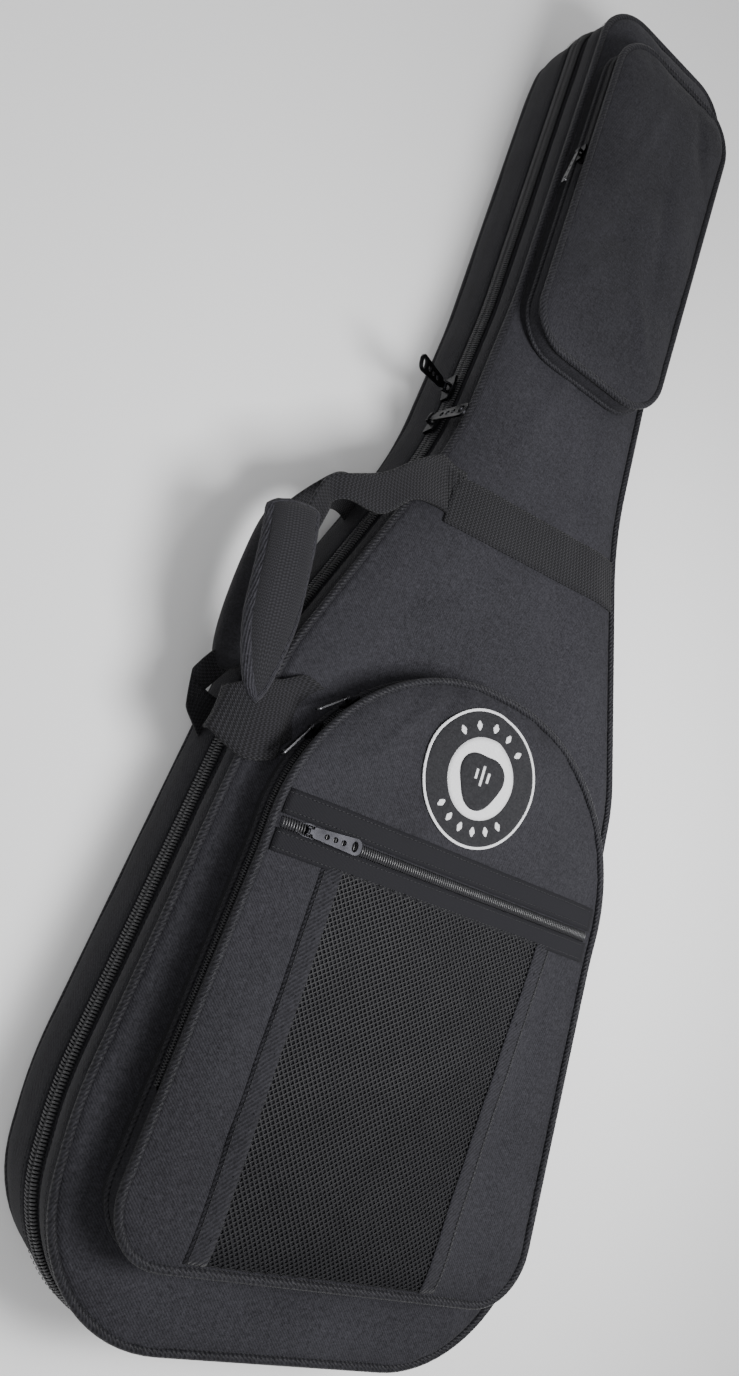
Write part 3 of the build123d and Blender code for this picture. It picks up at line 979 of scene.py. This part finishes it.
class GIGBAG_OT_piping(GigBagOperator, bpy.types.Operator):
    """Round piping along the front and back edges"""
    bl_idname = "gigbag.piping"
    bl_label = "Piping"

    def build(self):
        s = sizes()
        for name, out, z, body, node in (
                ("front_edge_piping", -0.0002, FRONT + 0.0002, "lid", "front_piping"),
                ("back_edge_piping", s.rear_flare - 0.0026, 0.0034, "tray", "rear_piping")):
            def drawn_in(i, k, reach, height, rear=body == "tray", base=out):
                return reach - (base * (1 - tuck(BAG.points[i % len(BAG)].y)) if rear else 0), height
            bead = ribbon(BAG, bead_profile(out, z, s.bead), shut=True, shape=drawn_in)
            piece = finished(bead, name, "piping", body)
            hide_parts(node)


class GIGBAG_OT_main_zip(GigBagOperator, bpy.types.Operator):
    """Main coil zip: two tapes and two rows of turns"""
    bl_idname = "gigbag.main_zip"
    bl_label = "Main Zip"

    def build(self):
        s = sizes()
        out = s.zip_flare - 0.001
        first, last = hinge_stations()
        span = (last, first + len(BAG) + 1)
        for name, high, low, body, node in (
                ("front_zip_tape_cloth", ZIP_Z + 0.0084, ZIP_Z + 0.0004, "lid", "front_zip_tape"),
                ("rear_zip_tape_cloth", ZIP_Z - 0.0004, ZIP_Z - 0.0084, "tray", "rear_zip_tape")):
            tape = outward(ribbon(BAG, leaned([(out, high), (out, low)]), span=span))
            piece = finished(tape, name, "tape", body, thick=0.0008)
            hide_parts(node)
        for name, side, body, node in (("front_zip_turns", 1, "lid", "front_zip_coil"),
                                       ("rear_zip_turns", -1, "tray", "rear_zip_coil")):
            places = zip_places(BAG, out, ZIP_Z, s.coil_pitch, lambda p: not on_cloth_hinge(p), ZIP_LEAN)
            shift = Matrix.Translation((s.coil_pitch * 0.25 * side, 0, 0))
            turns = copies(coil_turn(0.0056, 0.0027, 0.0007, -side), [p @ shift for p in places])
            piece = finished(turns, name, "coil", body)
            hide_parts(node)


class GIGBAG_OT_pockets(GigBagOperator, bpy.types.Operator):
    """Big pocket and head pocket: walls, faces, piping and zips"""
    bl_idname = "gigbag.pockets"
    bl_label = "Pockets"

    def build(self):
        self.pocket("big_pocket", "big_flap", BIG, POCKET_TOP, BIG_ZIP_Z, BIG_FOLD, 72, big_level)
        self.pocket("head_pocket", "head_flap", SMALL, HEAD_TOP, HEAD_ZIP_Z, HEAD_FOLD, 38, head_level)

    def pocket(self, name, flap, outline, top, zip_z, fold, across, level):
        s = sizes()
        joined = zip_z + 0.0042

        def close_below(i, k, out, z):
            return out, (joined if k >= 3 and outline.points[i % len(outline)].y < fold else z)

        # The pocket walls take the darker gusset cloth, whose darkness is painted shade.
        lower = outward(ribbon(outline, [
            (0.003, FRONT + 0.0005), (0.0008, FRONT + 0.003), (0.0002, FRONT + 0.01),
            (0.0, zip_z - 0.0045), (-0.0003, zip_z - 0.0038)], shape=close_below))
        piece = finished(lower, name + "_lower_wall", "gusset cloth", "lid", thick=0.001)
        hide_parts(name + "_gusset")
        upper = outward(ribbon(outline, [(-0.0003, zip_z + 0.0038), (0.0001, zip_z + 0.0045),
                                         (0.0, top - 0.004), (-0.002, top - 0.002)]))
        piece = finished(upper, name + "_upper_wall", "gusset cloth", None, thick=0.001)
        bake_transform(piece)
        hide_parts(name + "_flap_gusset")
        face = panel(outline, across, level, inset=SEAM_DROP)
        piece = finished(face, name + "_face_cloth", "pocket cloth", None, thick=0.001,
                         settling=(4.0, 0.0018))
        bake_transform(piece)
        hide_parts(name + "_face", name + "_lower_face")
        bead = ribbon(outline, bead_profile(-0.0002, top + 0.0002, s.bead), shut=True)
        piece = finished(bead, name + "_edge_piping", "piping", None)
        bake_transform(piece)
        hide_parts(name + "_piping", name + "_lower_piping")
        cord = ribbon(outline, bead_profile(0.0006, zip_z - 0.0068, 0.0018, 8), shut=True)
        finished(cord, name + "_lower_cord", "piping", "lid")
        self.zip(name, flap, outline, zip_z, fold)

    def zip(self, name, flap, outline, zip_z, fold):
        s = sizes()
        places = zip_places(outline, -0.0004, zip_z, s.small_pitch, lambda p: p.y > fold + 0.002)
        for part, side, body, level in (("rear", -1, "lid", (zip_z - 0.0042, zip_z - 0.0002)),
                                        ("front", 1, flap, (zip_z + 0.0042, zip_z + 0.0002))):
            turns = copies(coil_turn(0.0028, 0.0013, 0.0004, -side),
                           [p @ Matrix.Translation((s.small_pitch * 0.25 * side, 0, 0)) for p in places])
            piece = finished(turns, f"{name}_{part}_zip_turns", "coil", body)
            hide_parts(f"{name}_{part}_zip")
            tape = outward(ribbon(outline, [(-0.0009, level[0]), (-0.0009, level[1])]))
            low = [v for v in tape.verts if v.co.y < fold]
            bmesh.ops.delete(tape, geom=low, context="VERTS")
            finished(tape, f"{name}_{part}_zip_tape", "tape", body, thick=0.0006)


class GIGBAG_OT_trim(GigBagOperator, bpy.types.Operator):
    """Webbing band, mesh panel, flat tapes and the zip across the big pocket"""
    bl_idname = "gigbag.trim"
    bl_label = "Trim"

    LEFT, RIGHT = -0.134, 0.131     # ends of the zip across the pocket
    BEND = flap_bend(BIG_FOLD, POCKET_TOP)

    def build(self):
        piece = finished(patch([(-76, 61), (86, 71.5), (99.5, 34), (-76, 23)], (60, 12), front_level, 0.0004),
                         "waist_band", "webbing", "lid", thick=0.0016, inward=False)
        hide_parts("upper_band")
        rows = [[Vector((-0.076, left, 0)), Vector((0.09, right, 0))]
                for left, right in ((0.0585, 0.069), (0.0255, 0.0365))]
        thread = stitches(rows, front_level, lift=0.0021)
        finished(thread, "waist_band_stitches", "thread_dark", "lid")
        self.zip_tapes()
        self.zip_turns()
        self.mesh_panel()
        self.seams()

    def zip_tapes(self):
        y = MESH_ZIP_Y * 1000
        left, right = self.LEFT * 1000, self.RIGHT * 1000
        upper = patch([(left, y + 5), (right, y + 4.6), (right, y + 21), (left, y + 21)], (60, 6), big_level,
                      0.0005)
        piece = finished(upper, "mesh_zip_upper_tape", "tape", "big_flap", thick=0.0006,
                         inward=False)
        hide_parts("mesh_zip_tapes")
        lower = patch([(left, y - 18), (right, y - 18), (right, y - 4), (left, y - 4)], (60, 6), big_level,
                      0.0006)
        finished(lower, "mesh_zip_lower_tape", "tape", "big_flap", thick=0.0006, inward=False)
        rows = [[Vector((x, row, 0)) for x in (self.LEFT, self.RIGHT)] for row in
                (MESH_ZIP_Y + 0.0075, MESH_ZIP_Y + 0.0185, MESH_ZIP_Y - 0.0062, MESH_ZIP_Y - 0.0158)]
        thread = stitches(rows, big_level, pitch=0.003, lift=0.0013)
        finished(thread, "mesh_zip_stitches", "thread_dark", "big_flap")

    def zip_turns(self):
        pitch = sizes().small_pitch
        places = []
        for k in range(int((self.RIGHT - self.LEFT - 0.004) / pitch)):
            x = self.LEFT + 0.002 + k * pitch
            foot = Vector((x, MESH_ZIP_Y, big_level(x, MESH_ZIP_Y) + 0.0006))
            places.append(frame_at(foot, Vector((1, 0, 0)), Vector((0, 0, 1))))
        rib = rod([(0, 0.0033, 0), (0, 0.0029, 0.0013), (0.0002, 0.0012, 0.0018), (0.0004, -0.0012, 0.0018),
                   (0.0006, -0.0029, 0.0013), (0.0006, -0.0033, 0)], 0.0005)
        piece = finished(copies(rib, places), "mesh_zip_turns", "silver coil", "big_flap")
        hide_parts("mesh_zip_coil")

    def mesh_panel(self):
        cell = sizes().mesh_cell
        bm = bmesh.new()
        bm.loops.layers.uv.new("UVMap")
        count = int(0.29 / cell)
        turn = Matrix.Translation((-0.005, -0.3455, 0)) @ Matrix.Rotation(math.radians(34), 4, "Z")
        bmesh.ops.create_grid(bm, x_segments=count, y_segments=count, size=0.145, matrix=turn)
        corners = [mm(*p) for p in ((-88, -232), (-92, -461), (69, -461), (88, -232))]
        for a, b in zip(corners, corners[1:] + corners[:1]):
            side = Vector((b.y - a.y, a.x - b.x, 0))
            inner = Vector((0, -0.345, 0)) - a.to_3d()
            side = side if side.dot(inner) < 0 else -side
            bmesh.ops.bisect_plane(bm, geom=bm.verts[:] + bm.edges[:] + bm.faces[:], plane_co=a.to_3d(),
                                   plane_no=side, clear_outer=True)
        holes = bmesh.ops.inset_individual(bm, faces=bm.faces[:], thickness=cell * 0.2)["faces"]
        centres = [f for f in bm.faces if f not in set(holes)]
        bmesh.ops.delete(bm, geom=centres, context="FACES")
        for v in bm.verts:
            v.co.z = big_level(v.co.x, v.co.y) + 0.0016
        piece = finished(face_up(bm), "mesh_net", "mesh", None, thick=0.0006)
        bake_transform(piece)
        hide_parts("mesh_panel", "mesh_panel_lower")
        for name, lifts, corners in (
                ("left", (0.0001, 0.0019), [(-98, -232), (-84, -232), (-88, -461), (-102, -461)]),
                ("right", (0.0019, 0.0001), [(82, -232), (96, -232), (79, -461), (65, -461)])):
            tape = patch(corners, (4, 60), big_level, lifts)
            piece = finished(tape, f"mesh_{name}_tape", "side tape", None, thick=0.0005,
                             inward=False)
            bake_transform(piece)
            if name == "left":
                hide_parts("mesh_side_tapes", "mesh_side_tapes_lower")

    def seams(self):
        lines = []
        for top, foot in ((-96, -100), (-86, -90), (84, 67), (94, 77)):
            a, b = mm(top, -234), mm(foot, -460)
            lines.append([a.lerp(b, k / 12).to_3d() for k in range(13)])
        thread = stitches(lines, big_level, pitch=0.003, lift=0.0014)
        piece = finished(thread, "mesh_tape_stitches", "thread_dark", None)
        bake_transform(piece)


class GIGBAG_OT_badge(GigBagOperator, bpy.types.Operator):
    """Round embroidered badge with a plectrum"""
    bl_idname = "gigbag.badge"
    bl_label = "Badge"

    CENTRE = ((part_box("badge")[0].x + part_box("badge")[1].x) / 2 - 0.003,
              (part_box("badge")[0].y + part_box("badge")[1].y) / 2 + 0.0005)

    def build(self):
        ground = disc(self.CENTRE, 0.0002, 0.0468, big_level, 0.0004, rings=14)
        piece = finished(ground, "badge_ground", "badge ground", "big_flap", thick=0.0008,
                         inward=False)
        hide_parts("badge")
        for name, inner, outer, lift, finish, shape in (
                ("badge_rim", 0.0456, 0.0474, 0.0009, "thread", None),
                ("badge_disc", 0.0002, 0.0280, 0.0009, "thread", None),
                ("badge_plectrum", 0.0002, 0.0210, 0.0014, "badge ground", self.plectrum)):
            rings = 8 if inner < 0.001 else 3
            bm = disc(self.CENTRE, inner, outer, big_level, lift, rings=rings, shape=shape)
            finished(bm, name, finish, "big_flap", thick=0.0007, inward=False)
        self.marks()

    @staticmethod
    def plectrum(angle):
        turn = angle + math.pi / 2
        return 0.9 + 0.09 * math.cos(3 * turn) + 0.06 * math.cos(turn)

    def marks(self):
        places = [math.radians(90 + k) for k in (-44, -22, 0, 22, 44)]
        places += [math.radians(270 + k) for k in (-45, -27, -9, 9, 27, 45)]
        x, y = self.CENTRE
        for k, angle in enumerate(places):
            spot = (x + 0.0359 * math.cos(angle), y + 0.0359 * math.sin(angle))
            bm = disc(spot, 0.0001, 0.0034, big_level, 0.0009, around=24, rings=3,
                      shape=lambda a, turn=angle: 0.62 + 0.38 * max(0.0, math.cos(2 * (a - turn))) ** 2)
            finished(bm, f"badge_mark_{k}", "thread", "big_flap", thick=0.0006, inward=False)
        for k, (across, reach) in enumerate(((-5.0, 3.5), (0.0, 7.0), (5.0, 3.5))):
            left, middle = x * 1000 + across - 1, y * 1000 + 2
            bm = patch([(left, middle - reach), (left + 2, middle - reach), (left + 2, middle + reach),
                        (left, middle + reach)], (3, 6), big_level, 0.002)
            finished(bm, f"badge_bar_{k}", "thread", "big_flap", thick=0.0005, inward=False)


def squared_off(value, power):
    """A value raised towards 1 or -1 by a power under 1, its sign kept."""
    return math.copysign(abs(value) ** power, value)


def cross_section(wide, high):
    """Section of a padded grip: a rounded oval that closes at both ends."""
    def at(s, angle):
        taper = max(0.0, 1 - abs(2 * s - 1) ** 7) ** 0.5
        a = squared_off(math.cos(angle), 0.75)
        b = squared_off(math.sin(angle), 0.85)
        return wide * taper * a, high * (0.35 + 0.65 * taper) * b
    return at


def along_spine(points, up):
    """Smooth spine for sleeve() through a few points given in millimetres."""
    line = catmull([mm(*p) for p in points], 24)

    def at(s):
        k = min(round(s * (len(line) - 1)), len(line) - 1)
        way = (line[min(k + 1, len(line) - 1)] - line[max(k - 1, 0)]).normalized()
        across = way.cross(Vector(up)).normalized()
        return line[k], across, across.cross(way)
    return at


class GIGBAG_OT_handles(GigBagOperator, bpy.types.Operator):
    """Two carrying handles: webbing and padded grips"""
    bl_idname = "gigbag.handles"
    bl_label = "Handles"

    # Edges of the webbing, in millimetres, from the bag outwards.
    FRONT_TOP = [((-69, 66, 84), (-57, 28, 84)), ((-82, 66, 84.5), (-70, 28, 84.5)),
                 ((-95, 66, 87), (-83, 30, 86)), ((-116, 48, 94), (-105, 24, 88)),
                 ((-136, 27, 95), (-124, 3, 86)), ((-158, 13, 97), (-152, -2, 90)),
                 ((-171, 6, 95), (-162, -9, 88)), ((-176, -6, 93), (-163, -18, 90)),
                 ((-180, -32, 92), (-166, -36, 92))]
    FRONT_LOW = [((-104, -131, 83.4), (-121, -160, 83.4)), ((-120, -124, 83.6), (-131, -164, 83.6)),
                 ((-136, -121, 84), (-138, -172, 84.6)), ((-151, -130, 88), (-140, -180, 87)),
                 ((-165, -136, 91), (-160, -186, 86)), ((-181, -145, 86), (-183, -177, 81)),
                 ((-183, -148, 78), (-183, -175, 74)), ((-172, -138, 76), (-170, -160, 74)),
                 ((-173, -124, 86), (-159, -128, 86))]
    REAR_TOP = [((-111, 42, 24), (-113, 12, 20)), ((-128, 40, 40), (-128, 14, 30)),
                ((-150, 28, 58), (-145, 6, 42)), ((-165, 10, 60), (-155, -8, 44)),
                ((-176, -8, 55), (-162, -18, 42)), ((-184, -26, 48), (-166, -28, 42))]
    REAR_LOW = [((-164, -148, 32), (-166, -178, 24)), ((-178, -148, 40), (-178, -170, 32)),
                ((-194, -141, 43), (-188, -160, 36)), ((-192, -132, 46), (-182, -150, 40)),
                ((-184, -118, 46), (-168, -124, 42))]
    FRONT_GRIP = [(-186, -24, 92), (-182, -48, 95), (-178, -80, 96), (-173, -114, 94), (-165, -151, 89)]
    REAR_GRIP = [(-172, -8, 42), (-177, -36, 46), (-179, -70, 47), (-178, -100, 46), (-173, -130, 41)]

    def build(self):
        front = {"start": (-0.108, -0.0575, 0.086), "end": (-0.132, -0.05, 0.086)}
        rear = {"start": (-0.142, -0.058, 0.015), "end": (-0.164, -0.0515, 0.015)}
        for name, pairs, parent, body, bend, nodes in (
                ("front_handle_strap", self.FRONT_TOP, "lid", "front_handle", front, ["front_handle_webbing"]),
                ("front_handle_lower_strap", self.FRONT_LOW, "lid", "front_handle", front, ["lower_band"]),
                ("rear_handle_strap", self.REAR_TOP, "tray", "rear_handle", rear, ["rear_handle_webbing"]),
                ("rear_handle_lower_strap", self.REAR_LOW, "tray", "rear_handle", rear, [])):
            piece = finished(band(pairs, dish=0.0012), name, "webbing", None, thick=0.0018)
            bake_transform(piece)
            if nodes:
                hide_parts(*nodes)
        rows = [[mm(x - 3, 62, 85.6 + 0.1 * (-66 - x)), mm(x + 8, 31, 85.4 + 0.08 * (-66 - x))]
                for x in (-68, -72, -78, -82)]
        finished(stitches(rows, pitch=0.003), "handle_box_stitches", "thread_dark", "lid")
        self.grips()

    def grips(self):
        spine = along_spine(self.FRONT_GRIP, (-0.25, 0, 1))
        leaf = self.leaf(0.0160, 0.0058)
        pad = sleeve(spine, leaf, 96, 32)
        piece = finished(pad, "front_grip_pad", "knit", "front_handle", settling=(4.0, 0.0012))
        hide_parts("front_handle_grip")
        finished(self.binding(spine, leaf), "front_grip_binding", "binding", "front_handle")
        pad = sleeve(along_spine(self.REAR_GRIP, (-0.5, 0, 1)), cross_section(0.0125, 0.0105), 96, 32)
        piece = finished(pad, "rear_grip_pad", "smooth cloth", "rear_handle",
                         settling=(4.0, 0.0012))
        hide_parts("rear_handle_grip")

    @staticmethod
    def leaf(wide, high):
        """Flat padded leaf: square shoulders at the top, narrowing to the foot."""
        def at(s, angle):
            top = min(1.0, s / 0.07) ** 0.5
            foot = max(0.0, 1 - max(0.0, (s - 0.6) / 0.4) ** 1.8) ** 0.85
            reach = top * foot
            a = squared_off(math.cos(angle), 0.6)
            b = squared_off(math.sin(angle), 0.8)
            return wide * reach * a, high * (0.3 + 0.7 * reach) * b
        return at

    @staticmethod
    def binding(spine, section):
        """Tape folded over the whole edge of the leaf."""
        steps, inset = 60, 0.0018
        loop = []
        for side, way, order in ((0.0, 1, range(steps + 1)), (math.pi, -1, range(steps - 1, 0, -1))):
            for k in order:
                s = 0.012 + 0.976 * k / steps
                centre, across, up = spine(s)
                loop.append((centre + across * (section(s, side)[0] - way * inset), up))
        count = len(loop)

        def at(s):
            k = round(s * count) % count
            way = (loop[(k + 1) % count][0] - loop[k - 1][0]).normalized()
            up = loop[k][1]
            return loop[k][0], way.cross(up).normalized(), up

        def oval(s, angle):
            wide = 0.0026 + 0.0026 * min(1.0, max(0.0, math.sin(TURN * s) * 4))
            return wide * math.cos(angle), 0.0043 * math.sin(angle)

        return sleeve(at, oval, count, 10, closed=True)


class GIGBAG_OT_hardware(GigBagOperator, bpy.types.Operator):
    """Zip sliders and their pulls"""
    bl_idname = "gigbag.hardware"
    bl_label = "Sliders and Pulls"

    def build(self):
        for node in sorted(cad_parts):
            if "_slider" in node:
                softened(node, node + "_cast", "dark metal", node, 0.0003)
            elif "_pull" in node:
                finish = "dark metal" if node.startswith(("main", "mesh")) else "metal"
                softened(node, node + "_cast", finish, node, 0.0003)


class GIGBAG_OT_inside(GigBagOperator, bpy.types.Operator):
    """Lining, neck cradle and its strap"""
    bl_idname = "gigbag.inside"
    bl_label = "Inside"

    def build(self):
        gap = 0.0008
        low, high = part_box("rear_lining")[0].z + gap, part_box("front_lining")[1].z - gap
        floor = panel(BAG, 30, lambda x, y, edge: low + 0.004 - 0.0038 * rise(edge, 0.03)
                      + 0.0004 * (1 + rumple(x, y, 0.05)), inset=0.0085)
        piece = finished(floor, "rear_lining_floor", "lining", "tray")
        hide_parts("rear_lining")
        ceiling = panel(BAG, 30, lambda x, y, edge: high - 0.004 + 0.0036 * rise(edge, 0.03)
                        - 0.0004 * (1 + rumple(x, y, 0.05)), inset=0.0095)
        ceiling.normal_update()
        bmesh.ops.reverse_faces(ceiling, faces=ceiling.faces)
        piece = finished(ceiling, "front_lining_ceiling", "lining", "lid")
        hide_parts("front_lining")
        for name, body, rows in (
                ("rear_lining_wall", "tray", [(-0.0085, low + 0.004), (-0.0075, low + 0.012),
                                              (-0.0065, ZIP_Z - 0.012), (-0.001, ZIP_Z - 0.0035)]),
                ("front_lining_wall", "lid", [(-0.001, ZIP_Z + 0.0035), (-0.0068, ZIP_Z + 0.010),
                                              (-0.0092, high - 0.004)])):
            wall = outward(ribbon(BAG, rows))
            bmesh.ops.reverse_faces(wall, faces=wall.faces)
            piece = finished(wall, name, "lining", body)
        self.cradle()

    def cradle(self):
        piece = softened("neck_cradle", "neck_cradle_cover", "lining", "tray", 0.004, segments=4,
                         smooth=True)
        low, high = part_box("neck_strap")
        middle = (low.y + high.y) / 2 * 1000
        top = low.z * 1000
        pairs = [((x, middle + 19, z), (x, middle - 19, z)) for x, z in
                 ((-62, 16), (-59.5, 30), (-56, top + 0.4), (-30, top + 0.8), (0, top + 1.2), (30, top + 0.8),
                  (56, top + 0.4), (59.5, 30), (62, 16))]
        piece = finished(band(pairs), "neck_strap_webbing", "webbing", "tray", thick=0.0016)
        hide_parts("neck_strap")


class GIGBAG_OT_stage(GigBagOperator, bpy.types.Operator):
    """Pale floor, soft lights and the camera"""
    bl_idname = "gigbag.stage"
    bl_label = "Stage"

    def build(self):
        bm = bmesh.new()
        bmesh.ops.create_grid(bm, x_segments=2, y_segments=2, size=6.0)
        mesh = bpy.data.meshes.new("floor")
        bm.to_mesh(mesh)
        bm.free()
        floor = placed("floor", mesh)
        paint = Paint("studio floor")
        paint.set(Base_Color=(*colours().floor, 1.0), Roughness=0.9)
        mesh.materials.append(paint.material)
        self.camera()
        self.lights()

    # Lens in millimetres, where the camera stands, and its right, upward and backward ways.
    LENS = 25.334
    STAND = (-0.39238, -0.26285, 0.63589)
    WAYS = ((0.79481, 0.30788, 0.52297), (-0.38541, 0.92174, 0.04311), (-0.46876, -0.23582, 0.85126))

    def camera(self):
        data = bpy.data.cameras.new("camera")
        data.lens = self.LENS
        data.sensor_width = 36.0
        camera = placed("camera", data)
        camera.matrix_world = Matrix.Translation(self.STAND) @ Matrix(self.WAYS).transposed().to_4x4()
        bpy.context.scene.camera = camera

    @staticmethod
    def lights():
        world = bpy.data.worlds.new("studio")
        world.use_nodes = True
        sky = world.node_tree.nodes["Background"].inputs
        sky["Color"].default_value = (1.0, 1.0, 1.0, 1.0)
        sky["Strength"].default_value = 0.5
        bpy.context.scene.world = world
        for name, place, size, power in (
                ("key", (0.14, -0.22, 0.78), 0.3, 9.2),
                ("fill", (-1.2, -0.9, 1.9), 1.6, 10.0),
                ("rim", (1.3, 0.2, 0.9), 0.9, 0.8)):
            data = bpy.data.lights.new(name, "AREA")
            data.size = size
            data.energy = power
            light = placed(name, data)
            light.location = place
            light.rotation_euler = (-Vector(place)).to_track_quat("-Z", "Y").to_euler()


OPERATORS = (
    GIGBAG_OT_shell, GIGBAG_OT_piping, GIGBAG_OT_main_zip, GIGBAG_OT_pockets, GIGBAG_OT_trim, GIGBAG_OT_badge,
    GIGBAG_OT_handles, GIGBAG_OT_hardware, GIGBAG_OT_inside, GIGBAG_OT_stage)


class GIGBAG_PT_panel(bpy.types.Panel):
    """Sizes, colours and build steps of the gig bag"""
    bl_idname = "GIGBAG_PT_panel"
    bl_label = "Gig Bag"
    bl_space_type = "VIEW_3D"
    bl_region_type = "UI"
    bl_category = "Gig Bag"

    def draw(self, context):
        for settings in (context.scene.gig_bag_sizes, context.scene.gig_bag_colours):
            column = self.layout.column()
            for name in settings.__annotations__:
                column.prop(settings, name)
        for operator in OPERATORS:
            self.layout.operator(operator.bl_idname)


CLASSES = (GigBagSizes, GigBagColours, *OPERATORS, GIGBAG_PT_panel)


def register():
    for cls in CLASSES:
        bpy.utils.register_class(cls)
    bpy.types.Scene.gig_bag_sizes = bpy.props.PointerProperty(type=GigBagSizes)
    bpy.types.Scene.gig_bag_colours = bpy.props.PointerProperty(type=GigBagColours)


def unregister():
    del bpy.types.Scene.gig_bag_colours
    del bpy.types.Scene.gig_bag_sizes
    for cls in reversed(CLASSES):
        bpy.utils.unregister_class(cls)


def main():
    register()
    for operator in OPERATORS:
        getattr(bpy.ops.gigbag, operator.bl_idname.split(".")[1])()


if __name__ == "__main__":
    main()
